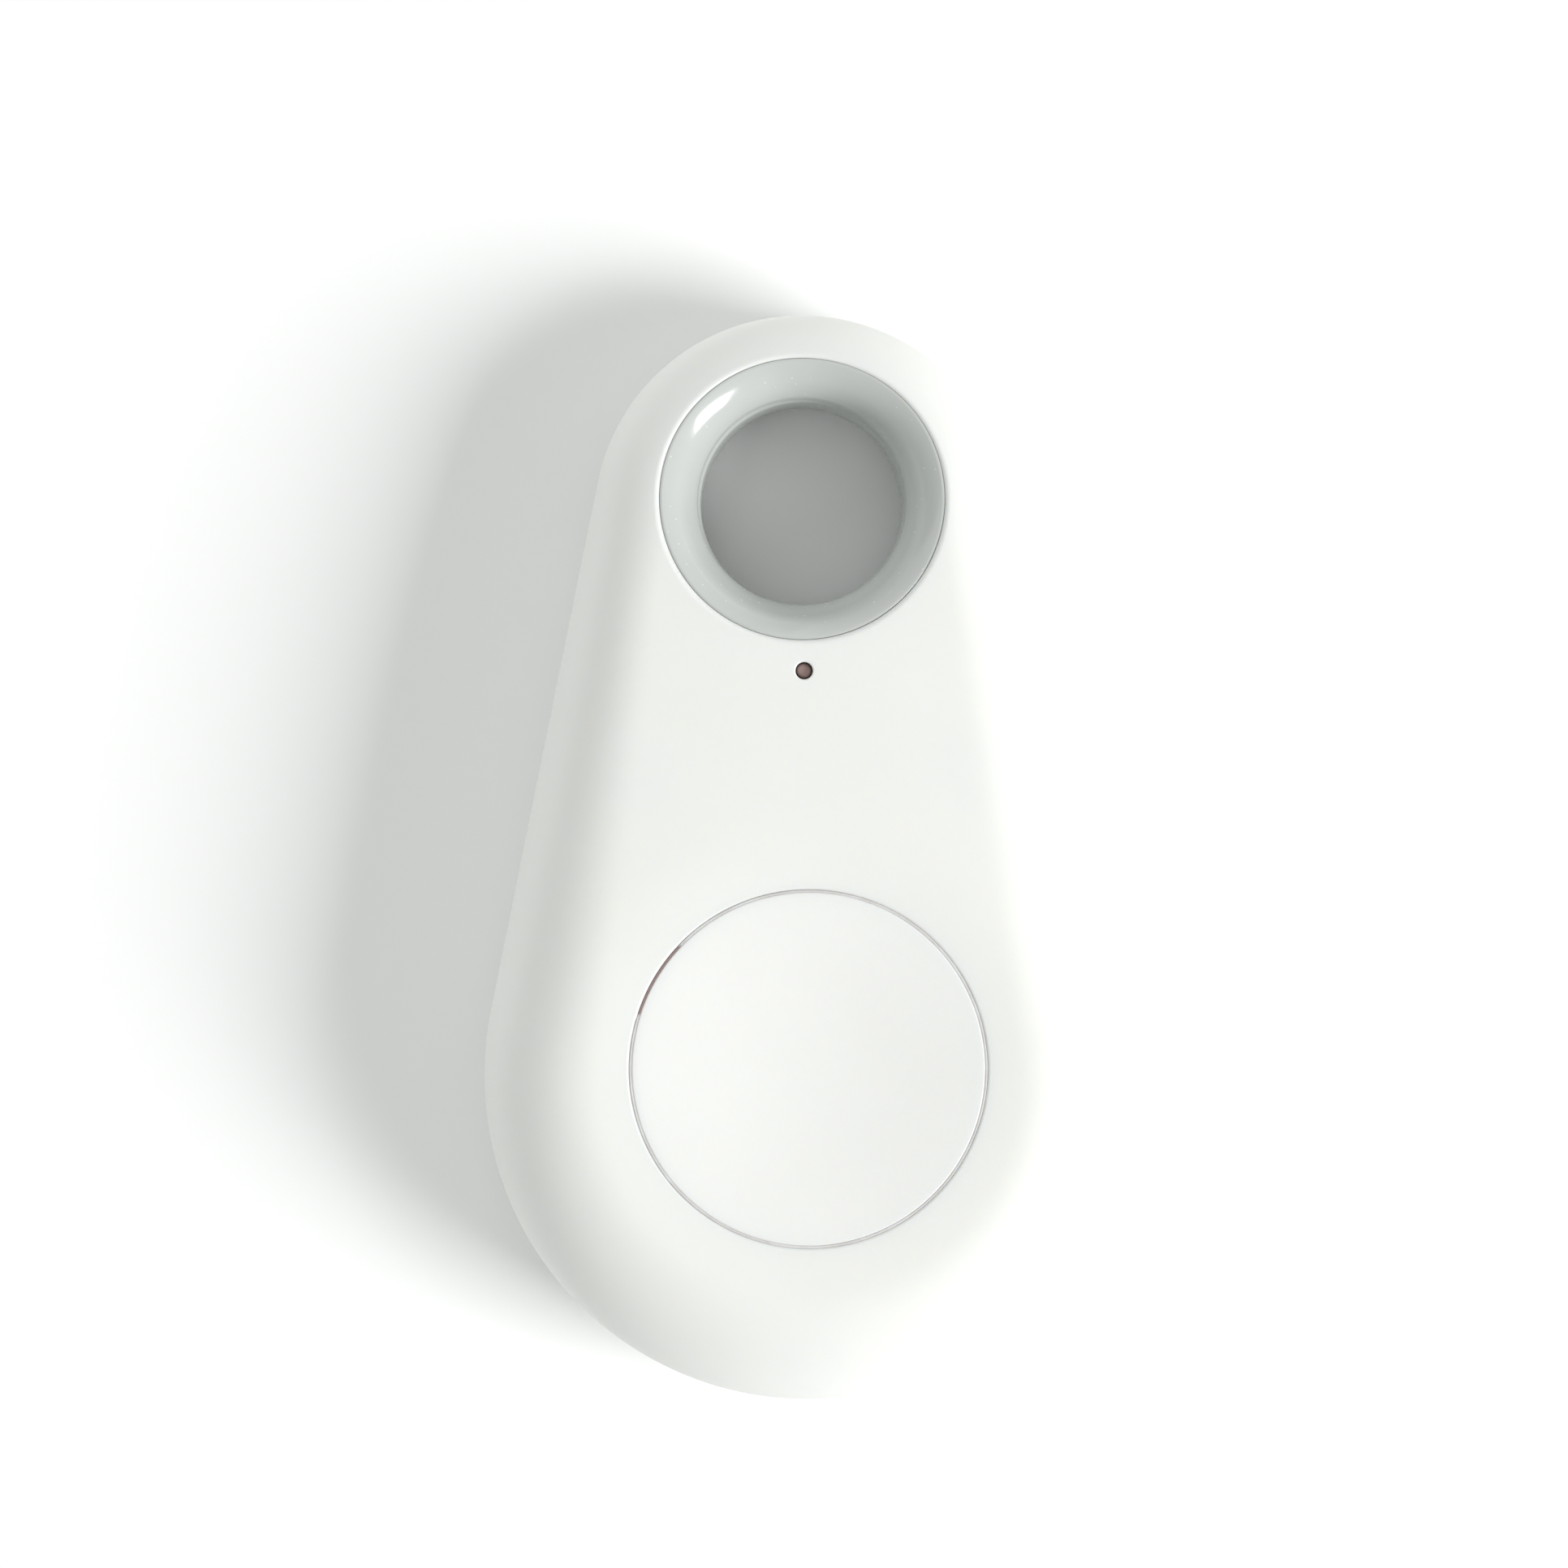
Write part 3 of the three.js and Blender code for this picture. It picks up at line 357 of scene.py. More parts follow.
def moulded(name, light, shade, roughness, grain=0.0012 * MM, grain_size=0.12 * MM, **constants):
    """Moulded plastic: faint cloudiness in the colour, an uneven sheen and a fine spark-eroded grain."""
    made = Finish(name, **constants)
    cloud = made.noise(3.2 * MM, 3)
    texture = made.noise(grain_size, 2)
    made.feed(Base_Color=made.mixed(cloud, shade, light))
    made.feed(Roughness=roughness - 0.06 + 0.1 * cloud + 0.04 * texture)
    made.bump(texture, grain)
    return made


def white_shell():
    made = moulded("white_shell", (0.868, 0.876, 0.845), (0.851, 0.859, 0.826), 0.4, IOR=1.46)
    made.feed(Subsurface_Weight=0.3, Subsurface_Radius=(1.0, 0.85, 0.6), Subsurface_Scale=0.9 * MM)
    return made.material


def white_button():
    """The shell's plastic, with painted shade in the gap round its rim: a mottled mauve-grey band, darker
    still at the notch.
    """
    made = Finish("white_button", IOR=1.46, Subsurface_Weight=0.3)
    made.feed(Subsurface_Radius=(1.0, 0.85, 0.6), Subsurface_Scale=0.9 * MM)
    cloud = made.noise(3.2 * MM, 3)
    texture = made.noise(0.12 * MM, 2)
    plastic = made.mixed(cloud, (0.862, 0.867, 0.839), (0.88, 0.886, 0.861))
    reach = made.radius((0, BUTTON_Y, 0))
    # Painted shade: the band at the gap round the rim is darkened to a mottled mauve-grey.
    groove = reach.between(BUTTON_OPENING - BUTTON_GAP - 0.03 * MM, BUTTON_OPENING - BUTTON_GAP + 0.02 * MM)
    gap_mottle = made.noise(1.1 * MM, 3).between(0.25, 0.75)
    gap_shaded = made.mixed(groove * (0.2 + 0.4 * gap_mottle), plastic, (0.58, 0.52, 0.50))
    # Painted shade: at the flange's notch the gap is darker still, standing for the unlit hollow seen through
    # it.
    flat = made.place((0, BUTTON_Y, 0))
    sides = {0: made.part_of(flat, "Y"), 1: made.part_of(flat, "X")}
    turn = made.node("ShaderNodeMath", {"operation": "ARCTAN2"}, sides)
    starts = turn.between(math.radians(135), math.radians(136.5))
    notch_shade = starts * (1 - turn.between(math.radians(161), math.radians(162)))
    made.feed(Base_Color=made.mixed(notch_shade * groove, gap_shaded, (0.40, 0.29, 0.28)))
    made.feed(Roughness=0.34 + 0.1 * cloud + 0.04 * texture)
    made.bump(texture, 0.001 * MM)
    return made.material


def glossy_grey():
    """The lining's polished plastic, with light dust specks and a faint wave in its surface."""
    made = Finish("glossy_grey", IOR=1.52)
    cloud = made.noise(2.4 * MM, 3)
    base = made.mixed(cloud, (0.545, 0.567, 0.548), (0.58, 0.603, 0.583))
    dust = made.cells(0.55 * MM)
    specks = 1 - dust.between(0.05, 0.11)
    made.feed(Base_Color=made.mixed(specks * 0.35, base, (0.86, 0.87, 0.85)))
    made.feed(Roughness=0.1 + 0.1 * made.noise(0.9 * MM, 4) + 0.25 * specks)
    made.bump(made.noise(1.6 * MM, 2), 0.004 * MM)
    return made.material


WHITE = white_shell()
BUTTON_WHITE = white_button()
GREY = glossy_grey()


# ---- the front shell ----
RIM_ROUND = 0.28 * MM
BUTTON_RIM_ROUND = 0.12 * MM
PIN_ROUND = 0.08 * MM
RIM_STEPS = 6
WALL_STEPS = 5
SEAM_ROUND = 0.12 * MM
FRONT_HOLES = [
    (BUTTON_Y, BUTTON_OPENING, "wide", BUTTON_RIM_ROUND),
    (PIN_Y, PIN_RADIUS, "pin", PIN_ROUND),
    (EYELET_Y, EYELET_OPENING, "ring", RIM_ROUND),
]


def opening_line(holes):
    """The centre line of a skin whose openings stop short by their rounded rims."""
    low, high = holes[0], holes[-1]
    first = low[0] - low[1] - low[3] if low[2] == "wide" else shell_low.y
    widened = [(centre, radius + rounding, kind) for centre, radius, kind, rounding in holes]
    return centre_line(widened, first, high[0] + high[1] + high[3], 120, 0.4 * MM)


def round_rims(bm, holes, height):
    """Rolls each opening's edge over into its bore, and returns the rings of edges it ends at."""
    rings = []
    for centre, radius, _, rounding in holes:
        edges = rim(bm, centre, radius + rounding)
        for step in range(1, RIM_STEPS + 1):
            turn = math.radians(90 * step / RIM_STEPS)
            reach, sink = radius + rounding * (1 - math.sin(turn)), rounding * (1 - math.cos(turn))

            def roll(co, centre=centre, reach=reach, sink=sink):
                side, along = co.x, co.y - centre
                scale = reach / math.hypot(side, along)
                x, y = side * scale, centre + along * scale
                return Vector((x, y, height(x, y) - sink))
            edges = extend(bm, edges, roll)
        rings.append(edges)
    return rings


EYELET_SEAT_Z = 5.25 * MM
EYELET_SLEEVE = 6.0 * MM
SOCKET_RADIUS = EYELET_OPENING + 0.5 * MM
BOSS_RADIUS = 1.5 * MM
PILOT_RADIUS = 0.55 * MM
PILOT_ROOM = 0.1 * MM
BOSS_GAP = 0.01 * MM
SCREWS = ["board_screw_1", "board_screw_2", "board_screw_3"]


def under_front(bm, profile, x, y):
    """A turned post or tube about an upright axis, its top ending within the front wall."""
    before = set(bm.verts)
    spun(bm, profile, y, 64)
    for vert in set(bm.verts) - before:
        vert.co.x += x
        if vert.co.z > HEIGHT - 0.01 * MM:
            vert.co.z = front_z(vert.co.x, vert.co.y) - WALL / 2


def shell_posts(bm):
    """The socket tube round the key-ring lining, and the three bosses that the board is screwed to."""
    foot, seat = SEAM_Z + 0.05 * MM, EYELET_SEAT_Z - 0.05 * MM
    bore, opening = EYELET_SLEEVE + 0.1 * MM, EYELET_OPENING + 0.01 * MM
    socket = [(bore, foot), (SOCKET_RADIUS, foot), (SOCKET_RADIUS, HEIGHT), (opening, HEIGHT),
              (opening, seat), (bore, seat), (bore, foot)]
    under_front(bm, socket, 0, EYELET_Y)
    board_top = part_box("circuit_board")[1].z + BOSS_GAP
    for screw in SCREWS:
        low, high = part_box(screw)
        end = high.z + PILOT_ROOM
        post = [(0, end), (PILOT_RADIUS, end), (PILOT_RADIUS, board_top), (BOSS_RADIUS, board_top),
                (BOSS_RADIUS, HEIGHT), (0, HEIGHT)]
        under_front(bm, post, (low.x + high.x) / 2, (low.y + high.y) / 2)


def front_shell():
    bm = bmesh.new()
    line = opening_line(FRONT_HOLES)
    half_skin(bm, line, 0, 46, front_z)
    edge = outline_rim(bm, 0)
    rings = round_rims(bm, FRONT_HOLES, front_z)
    drops = [(0, 1 - step / WALL_STEPS, SEAM_ROUND) for step in range(1, WALL_STEPS + 1)]
    drops += [(SEAM_ROUND * (1 - math.cos(a)), 0, SEAM_ROUND * (1 - math.sin(a)))
              for a in (math.radians(30), math.radians(60), math.radians(90))]
    for inward, share, above in drops:
        def lower(co, inward=inward, share=share, above=above):
            place = co + outward(co.x, co.y) * (inset(co.x, co.y) - inward)
            foot = SEAM_Z + above
            return Vector((place.x, place.y, foot + share * (front_z(place.x, place.y) - foot)))
        edge = extend(bm, edge, lower)
    under = bmesh.new()
    plain = [(centre, radius, kind, 0) for centre, radius, kind, _ in FRONT_HOLES]
    half_skin(under, opening_line(plain), WALL, 14, lambda x, y: front_z(x, y) - WALL)
    inner = bpy.data.meshes.new("inner")
    under.to_mesh(inner)
    under.free()
    before = set(bm.edges)
    bm.from_mesh(inner)
    bpy.data.meshes.remove(inner)
    fresh = [item for item in bm.edges if item not in before and item.is_boundary]

    def on_ring(item, centre, radius):
        return all(abs(math.hypot(v.co.x, v.co.y - centre) - radius) < 2e-6 for v in item.verts)
    inner_edge = [item for item in fresh if all(abs(inset(v.co.x, v.co.y) - WALL) < 2e-6 for v in item.verts)]
    loops = [(ring, [item for item in fresh if on_ring(item, centre, radius)])
             for ring, (centre, radius, _, _) in zip(rings, FRONT_HOLES)]
    inner_edge = extend(bm, inner_edge, lambda co: Vector((co.x, co.y, SEAM_Z)))
    bmesh.ops.bridge_loops(bm, edges=edge + inner_edge)
    for ring, opposite in loops:
        bmesh.ops.bridge_loops(bm, edges=ring + opposite)
    shell_posts(bm)
    return finish_piece(bm, "front_shell_skin", "tag_body", "shell", WHITE, ["front_shell"])


front_shell()


# ---- the button ----
BUTTON_RADIUS = BUTTON_OPENING - BUTTON_GAP
BUTTON_ROUND = 0.08 * MM
LEDGE_SINK = 0.055 * MM
NOTCH_SINK = 0.1 * MM
NOTCH = (136, 162)


def button_cap():
    edge_z = front_z(BUTTON_OPENING, BUTTON_Y)
    flange_top = edge_z - WALL - 0.05 * MM
    flange_low = flange_top - 0.6 * MM
    flange_radius = button_high.x
    under = front_z(0, BUTTON_Y) - 1.1 * MM
    top = [((BUTTON_RADIUS - BUTTON_ROUND) * i / 28, edge_z) for i in range(29)]
    roll = arc(BUTTON_RADIUS - BUTTON_ROUND, edge_z - BUTTON_ROUND, BUTTON_ROUND, 90, 0, 6)[1:]
    ledge = edge_z - LEDGE_SINK
    step = [(BUTTON_RADIUS, ledge), (BUTTON_OPENING - 0.004 * MM, ledge)]
    waist = [(BUTTON_OPENING - 0.004 * MM, ledge - 0.3 * MM), (BUTTON_RADIUS, ledge - 0.3 * MM)]
    flange = [(BUTTON_RADIUS, flange_top)]
    flange += arc(flange_radius - 0.1 * MM, flange_top - 0.1 * MM, 0.1 * MM, 90, 0, 3)
    flange += arc(flange_radius - 0.1 * MM, flange_low + 0.1 * MM, 0.1 * MM, 0, -90, 3)
    hollow = [(BUTTON_RADIUS - 1.2 * MM, flange_low), (BUTTON_RADIUS - 1.2 * MM, under - 0.2 * MM),
              (BUTTON_RADIUS - 1.4 * MM, under), (0, under)]
    bm = bmesh.new()
    spun(bm, top + roll + step + waist + flange + hollow, BUTTON_Y, 240)
    for vert in bm.verts:
        x, y = vert.co.x, vert.co.y
        if vert.co.z > flange_top + 0.2 * MM:
            vert.co.z += front_z(x, y) - edge_z
        turn = math.degrees(math.atan2(y - BUTTON_Y, x))
        on_ledge = BUTTON_RADIUS + 0.02 * MM < math.hypot(x, y - BUTTON_Y) < BUTTON_OPENING
        if on_ledge and NOTCH[0] - 0.1 <= turn <= NOTCH[1] + 0.1:
            vert.co.z -= NOTCH_SINK
    bmesh.ops.create_cone(
        bm, cap_ends=True, segments=48, radius1=1.38 * MM, radius2=1.5 * MM,
        depth=under - button_low.z + 0.1 * MM,
        matrix=Matrix.Translation((0, BUTTON_Y, (under + button_low.z + 0.1 * MM) / 2)),
    )
    return finish_piece(bm, "button_disc", "button", "button", BUTTON_WHITE, ["button_cap"])


button_cap()


# ---- the key-ring lining ----
LINING_RIM = EYELET_OPENING - 0.005 * MM
LINING_SINK = 0.13 * MM
RIDGE_RADIUS = RING_HOLE_RADIUS + 0.1 * MM
RIDGE_Z = 4.9 * MM


def lip_curve(radius, z, curves):
    """Arcs running in and down from a rim, each with its radius and the slopes it starts and ends at."""
    points = []
    for bend, first, last in curves:
        steps = max(4, round(abs(last - first) / 3))
        start = math.radians(first)
        for step in range(steps + 1):
            slope = math.radians(first + (last - first) * step / steps)
            points.append((radius - bend * (math.sin(slope) - math.sin(start)),
                           z - bend * (math.cos(start) - math.cos(slope))))
        radius, z = points.pop()
    return points + [(radius, z)]


def eyelet_ring():
    crown_z = front_z(0, EYELET_Y)
    funnel = lip_curve(LINING_RIM - 0.04 * MM, crown_z, [(2.2 * MM, 20, 60), (4.4 * MM, 60, 82)])
    bead = [(RIDGE_RADIUS, RIDGE_Z), (RIDGE_RADIUS - 0.03 * MM, RIDGE_Z - 0.1 * MM),
            (RIDGE_RADIUS - 0.12 * MM, RIDGE_Z - 0.2 * MM), (RING_HOLE_RADIUS + 0.03 * MM, RIDGE_Z - 0.4 * MM),
            (RING_HOLE_RADIUS, RIDGE_Z - 0.6 * MM)]
    outside = [(EYELET_SLEEVE, eyelet_low.z), (EYELET_SLEEVE, EYELET_SEAT_Z), (EYELET_RADIUS, EYELET_SEAT_Z)]
    neck = [(EYELET_RADIUS, crown_z - 0.5 * MM), (LINING_RIM, crown_z - 0.3 * MM)]
    neck.append((LINING_RIM, crown_z - 0.04 * MM))
    foot = [(RING_HOLE_RADIUS, eyelet_low.z + 1.2 * MM),
            *arc(RING_HOLE_RADIUS + 0.8 * MM, eyelet_low.z + 0.8 * MM, 0.8 * MM, 180, 270, 8)]
    bm = bmesh.new()
    spun(bm, outside + neck + funnel + bead + foot + [outside[0]], EYELET_Y, 240)
    for vert in bm.verts:
        if vert.co.z <= EYELET_SEAT_Z + 0.01 * MM:
            continue
        x, y = vert.co.x, vert.co.y - EYELET_Y
        reach = LINING_RIM / math.hypot(x, y)
        rim_z = front_z(x * reach, EYELET_Y + y * reach) - LINING_SINK
        share = (vert.co.z - EYELET_SEAT_Z) / (crown_z - EYELET_SEAT_Z)
        vert.co.z = EYELET_SEAT_Z + (rim_z - EYELET_SEAT_Z) * share
    return finish_piece(bm, "eyelet_lining", "tag_body", "eyelet", GREY, ["eyelet_ring"])


eyelet_ring()

# ---- the rear cover ----
REAR_ROUND = 2.0 * MM
REAR_HOLE = EYELET_SLEEVE + 0.15 * MM
COLLAR = REAR_HOLE + 0.55 * MM
TONGUE = WALL + 0.1 * MM
TONGUE_INSIDE = TONGUE + 0.8 * MM
SEAM_TOP = SEAM_Z - 0.1 * MM
PRY_HALF = 2.5 * MM
PRY_DEPTH = 0.6 * MM
FLOOR_DISC = 6.0 * MM
SOCKET_ROOM = 0.6 * MM  # cut from the tongue round the socket
CELL_Y = (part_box("cell_can")[0].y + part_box("cell_can")[1].y) / 2
PAD_REACH = 6.0 * MM
PAD_RADIUS = 1.5 * MM
PAD_FOOT = WALL / 2
PAD_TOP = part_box("cell_can")[0].z - 0.05 * MM


def level_skin(bm, offset, hole, level):
    """A flat teardrop with the key-ring hole. Returns the edges of its hole and of its outline."""
    sheet = bmesh.new()
    line = centre_line([(WIDE_Y, FLOOR_DISC, "wide"), (EYELET_Y, hole, "ring")], WIDE_Y - FLOOR_DISC,
                       EYELET_Y + hole, 120, 0.5 * MM)
    half_skin(sheet, line, offset, 12, lambda x, y: level)
    bmesh.ops.edgeloop_fill(sheet, edges=rim(sheet, WIDE_Y, FLOOR_DISC))
    mesh = bpy.data.meshes.new("level")
    sheet.to_mesh(mesh)
    sheet.free()
    before = set(bm.edges)
    bm.from_mesh(mesh)
    bpy.data.meshes.remove(mesh)
    fresh = [edge for edge in bm.edges if edge not in before and edge.is_boundary]

    def on_hole(edge):
        return all(abs(math.hypot(vert.co.x, vert.co.y - EYELET_Y) - hole) < 2e-6 for vert in edge.verts)
    inner = [edge for edge in fresh if on_hole(edge)]
    return inner, [edge for edge in fresh if not on_hole(edge)]


def to_inset(inward, level):
    """A move that puts a point straight in from the outline, at a level."""
    def move(co):
        place = co + outward(co.x, co.y) * (inset(co.x, co.y) - inward)
        return Vector((place.x, place.y, level))
    return move


def to_bore(radius, level):
    """A move that puts a point on a circle about the key-ring hole, at a level."""
    def move(co):
        side, along = co.x, co.y - EYELET_Y
        scale = radius / math.hypot(side, along)
        return Vector((side * scale, EYELET_Y + along * scale, level))
    return move


def rear_cover():
    bm = bmesh.new()
    bore, edge = level_skin(bm, REAR_ROUND, REAR_HOLE + 0.3 * MM, 0)
    for reach, level in arc(0, REAR_ROUND, REAR_ROUND, -90, 0, 10)[1:]:
        edge = extend(bm, edge, to_inset(REAR_ROUND - reach, level))
    lip = SEAM_TOP - SEAM_ROUND
    climb = [(0, REAR_ROUND + (lip - REAR_ROUND) * share) for share in (0.3, 0.55, 0.75, 1)]
    climb += [(SEAM_ROUND * (1 - math.cos(a)), lip + SEAM_ROUND * math.sin(a))
              for a in (math.radians(30), math.radians(60), math.radians(90))]
    climb += [(TONGUE - 0.02 * MM, SEAM_TOP), (TONGUE, SEAM_TOP + 0.02 * MM)]
    climb += [(TONGUE, rear_high.z - 0.2 * MM)]
    climb += [(TONGUE + 0.05 * MM, rear_high.z - 0.06 * MM), (TONGUE + 0.16 * MM, rear_high.z)]
    climb += [(TONGUE_INSIDE - 0.16 * MM, rear_high.z), (TONGUE_INSIDE - 0.05 * MM, rear_high.z - 0.06 * MM)]
    climb += [(TONGUE_INSIDE, rear_high.z - 0.2 * MM), (TONGUE_INSIDE, SEAM_TOP)]
    climb += [(TONGUE_INSIDE, WALL + 0.3 * MM)]
    for inward, level in climb:
        edge = extend(bm, edge, to_inset(inward, level))
    for radius, level in arc(REAR_HOLE + 0.3 * MM, 0.3 * MM, 0.3 * MM, 270, 180, 5)[1:]:
        bore = extend(bm, bore, to_bore(radius, level))
    for radius, level in [(REAR_HOLE, SEAM_TOP - 0.12 * MM), (REAR_HOLE + 0.12 * MM, SEAM_TOP),
                          (COLLAR - 0.12 * MM, SEAM_TOP), (COLLAR, SEAM_TOP - 0.12 * MM),
                          (COLLAR, WALL + 0.3 * MM)]:
        bore = extend(bm, bore, to_bore(radius, level))
    for vert in bm.verts:
        near_socket = math.hypot(vert.co.x, vert.co.y - EYELET_Y) < SOCKET_RADIUS + SOCKET_ROOM
        if near_socket and vert.co.z > SEAM_TOP:
            vert.co.z = SEAM_TOP - 0.02 * MM
        at_end = abs(vert.co.x) < PRY_HALF and vert.co.y < 0
        in_notch = at_end and inset(vert.co.x, vert.co.y) < TONGUE - 0.01 * MM
        if in_notch and vert.co.z > SEAM_TOP - PRY_DEPTH:
            vert.co.z = SEAM_TOP - PRY_DEPTH
    floor_bore, floor_edge = level_skin(bm, TONGUE_INSIDE + 0.05 * MM, COLLAR + 0.05 * MM, WALL)
    bmesh.ops.bridge_loops(bm, edges=bore + floor_bore)
    bmesh.ops.bridge_loops(bm, edges=edge + floor_edge)
    for angle in (90, 210, 330):
        turn = math.radians(angle)
        place = (PAD_REACH * math.cos(turn), CELL_Y + PAD_REACH * math.sin(turn), (PAD_TOP + PAD_FOOT) / 2)
        bmesh.ops.create_cone(bm, cap_ends=True, segments=40, radius1=PAD_RADIUS,
                              radius2=PAD_RADIUS - 0.1 * MM, depth=PAD_TOP - PAD_FOOT,
                              matrix=Matrix.Translation(place))
    return finish_piece(bm, "rear_cover_skin", "rear_cover", "shell", WHITE, ["rear_cover"])


rear_cover()


# ---- finishes of the parts inside ----
def metal(name, light, shade, roughness, grain, tight=0.05 * MM, depth=0.0006 * MM, **constants):
    """Drawn or rolled metal: fine lines along one axis, cloudy tarnish and small scratches."""
    made = Finish(name, Metallic=1.0, **constants)
    lines = made.noise(tight, 3, made.place(stretch=grain))
    tarnish = made.noise(1.9 * MM, 4)
    made.feed(Base_Color=made.mixed(tarnish.between(0.3, 0.75), light, shade))
    made.feed(Roughness=roughness - 0.05 + 0.12 * lines + 0.12 * tarnish)
    made.bump(lines, depth)
    return made.material


def cell_steel(name, centre_y, marked=False):
    """Turned steel: fine rings about the cell's axis, and a pressed plus sign on the can."""
    made = Finish(name, Metallic=1.0)
    reach = made.radius((0, centre_y, 0))
    rings = made.node("ShaderNodeMath", {"operation": "SINE"}, {0: reach * (math.tau / (0.09 * MM))})
    haze = made.noise(2.6 * MM, 4)
    scuffs = made.noise(0.7 * MM, 3, made.place(stretch=(0.25, 3.0, 1)))
    made.feed(Base_Color=made.mixed(haze, (0.80, 0.80, 0.79), (0.70, 0.70, 0.69)))
    made.feed(Roughness=0.2 + 0.14 * haze + 0.1 * scuffs.between(0.5, 0.8))
    height = 0.5 + 0.1 * rings
    if marked:
        flat = made.place((0, centre_y, 0))
        side = made.node("ShaderNodeMath", {"operation": "ABSOLUTE"}, {0: made.part_of(flat, "X")})
        up = made.node("ShaderNodeMath", {"operation": "ABSOLUTE"}, {0: made.part_of(flat, "Y")})
        narrow, long = (0.35 * MM, 0.45 * MM), (2.0 * MM, 2.1 * MM)
        upright = (1 - side.between(*narrow)) * (1 - up.between(*long))
        across = (1 - up.between(*narrow)) * (1 - side.between(*long))
        height = height + 4 * made.node("ShaderNodeMath", {"operation": "MAXIMUM"}, {0: upright, 1: across})
        groove = reach.between(8.9 * MM, 9.0 * MM) * (1 - reach.between(9.1 * MM, 9.2 * MM))
        height = height - 3 * groove
    made.bump(height, 0.015 * MM)
    return made.material


def solder_mask():
    """Green lacquer over copper: traces show as slightly raised, lighter lines."""
    made = Finish("solder_mask", IOR=1.5, Coat_Weight=0.3, Coat_Roughness=0.12)
    warp = made.noise(6.0 * MM, 1)
    flat = made.place()
    across, up = made.part_of(flat, "X"), made.part_of(flat, "Y")
    sine = {"operation": "SINE"}
    runs = made.node("ShaderNodeMath", sine, {0: (across + 0.9 * MM * warp) * (math.tau / (0.9 * MM))})
    cross = made.node("ShaderNodeMath", sine, {0: (up + 1.4 * MM * warp) * (math.tau / (1.3 * MM))})
    zone = made.noise(5.0 * MM, 1).between(0.48, 0.52)
    copper = runs.between(0.72, 0.8) * zone
    crossing = cross.between(0.8, 0.86) * (1 - zone)
    copper = made.node("ShaderNodeMath", {"operation": "MAXIMUM"}, {0: copper, 1: crossing})
    made.feed(Base_Color=made.mixed(copper, (0.008, 0.075, 0.032), (0.03, 0.17, 0.07)))
    made.feed(Roughness=0.28 + 0.12 * made.noise(0.6 * MM, 3))
    made.bump(copper, 0.02 * MM)
    return made.material


def chip_epoxy(node):
    """Black moulding compound with a dimple for the first leg."""
    low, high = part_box(node)
    made = Finish("chip_epoxy", IOR=1.5)
    grit = made.noise(0.07 * MM, 2)
    corner = made.radius((low.x + 0.8 * MM, high.y - 0.8 * MM, 0))
    dimple = 1 - corner.between(0.26 * MM, 0.32 * MM)
    made.feed(Base_Color=made.mixed(grit, (0.018, 0.018, 0.02), (0.04, 0.04, 0.042)))
    made.feed(Roughness=0.5 + 0.2 * grit - 0.25 * dimple)
    made.bump(grit - 3 * dimple, 0.008 * MM)
    return made.material


def ended_chip(node, body, shade):
    """A small ceramic block with tinned ends along its longer side."""
    low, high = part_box(node)
    middle, size = (low + high) / 2, high - low
    axis, length = ("X", size.x) if size.x > size.y else ("Y", size.y)
    made = Finish(f"{node}_finish", IOR=1.6)
    along = made.part_of(made.place(middle), axis)
    far = made.node("ShaderNodeMath", {"operation": "ABSOLUTE"}, {0: along})
    tin = far.between(0.26 * length, 0.27 * length)
    grit = made.noise(0.1 * MM, 3)
    ceramic = made.mixed(grit, body, shade)
    made.feed(Base_Color=made.mixed(tin, ceramic, (0.72, 0.71, 0.69)), Metallic=tin)
    made.feed(Roughness=0.45 + 0.2 * grit - 0.15 * tin)
    made.bump(grit + 0.8 * tin, 0.01 * MM)
    return made.material


def smoked_guide():
    """The light guide: smoky mauve resin, with painted shade darkening it round its rim."""
    made = Finish("smoked_guide", IOR=1.5, Coat_Weight=0.2, Coat_Roughness=0.2)
    reach = made.radius((0, PIN_Y, 0))
    cloud = made.noise(0.35 * MM, 3)
    middle = made.mixed(cloud, (0.30, 0.19, 0.175), (0.42, 0.30, 0.28))
    # Painted shade: darker towards the rim, under the edge of the pin hole.
    made.feed(Base_Color=made.mixed(reach.between(0.2 * MM, 0.36 * MM), middle, (0.13, 0.08, 0.075)))
    made.feed(Roughness=0.35 + 0.2 * cloud)
    return made.material


STEEL = metal("rolled_steel", (0.74, 0.74, 0.73), (0.6, 0.6, 0.6), 0.28, (1, 0.06, 1))
SPRING = metal("nickel_strip", (0.78, 0.75, 0.68), (0.66, 0.62, 0.54), 0.24, (0.08, 1, 1))
COPPER = metal("enamelled_copper", (0.72, 0.32, 0.16), (0.5, 0.2, 0.1), 0.3, (1, 1, 14), tight=0.6 * MM)
GOLD = metal("gold_flash", (0.9, 0.66, 0.3), (0.8, 0.55, 0.24), 0.25, (1, 1, 1), tight=0.1 * MM)
FERRITE = moulded("ferrite", (0.06, 0.06, 0.065), (0.035, 0.035, 0.038), 0.55, grain=0.004 * MM).material
BLACK = moulded("black_nylon", (0.035, 0.035, 0.037), (0.02, 0.02, 0.021), 0.45, grain=0.003 * MM).material
CREAM = moulded("cream_nylon", (0.62, 0.60, 0.53), (0.55, 0.53, 0.46), 0.42, grain=0.003 * MM).material
LED_WHITE = moulded("led_ceramic", (0.8, 0.79, 0.74), (0.74, 0.73, 0.68), 0.4).material
GASKET = moulded("gasket_rubber", (0.12, 0.12, 0.125), (0.07, 0.07, 0.075), 0.6, grain=0.004 * MM).material
CATHODE = moulded("pressed_oxide", (0.05, 0.045, 0.045), (0.025, 0.022, 0.022), 0.8, grain=0.01 * MM).material
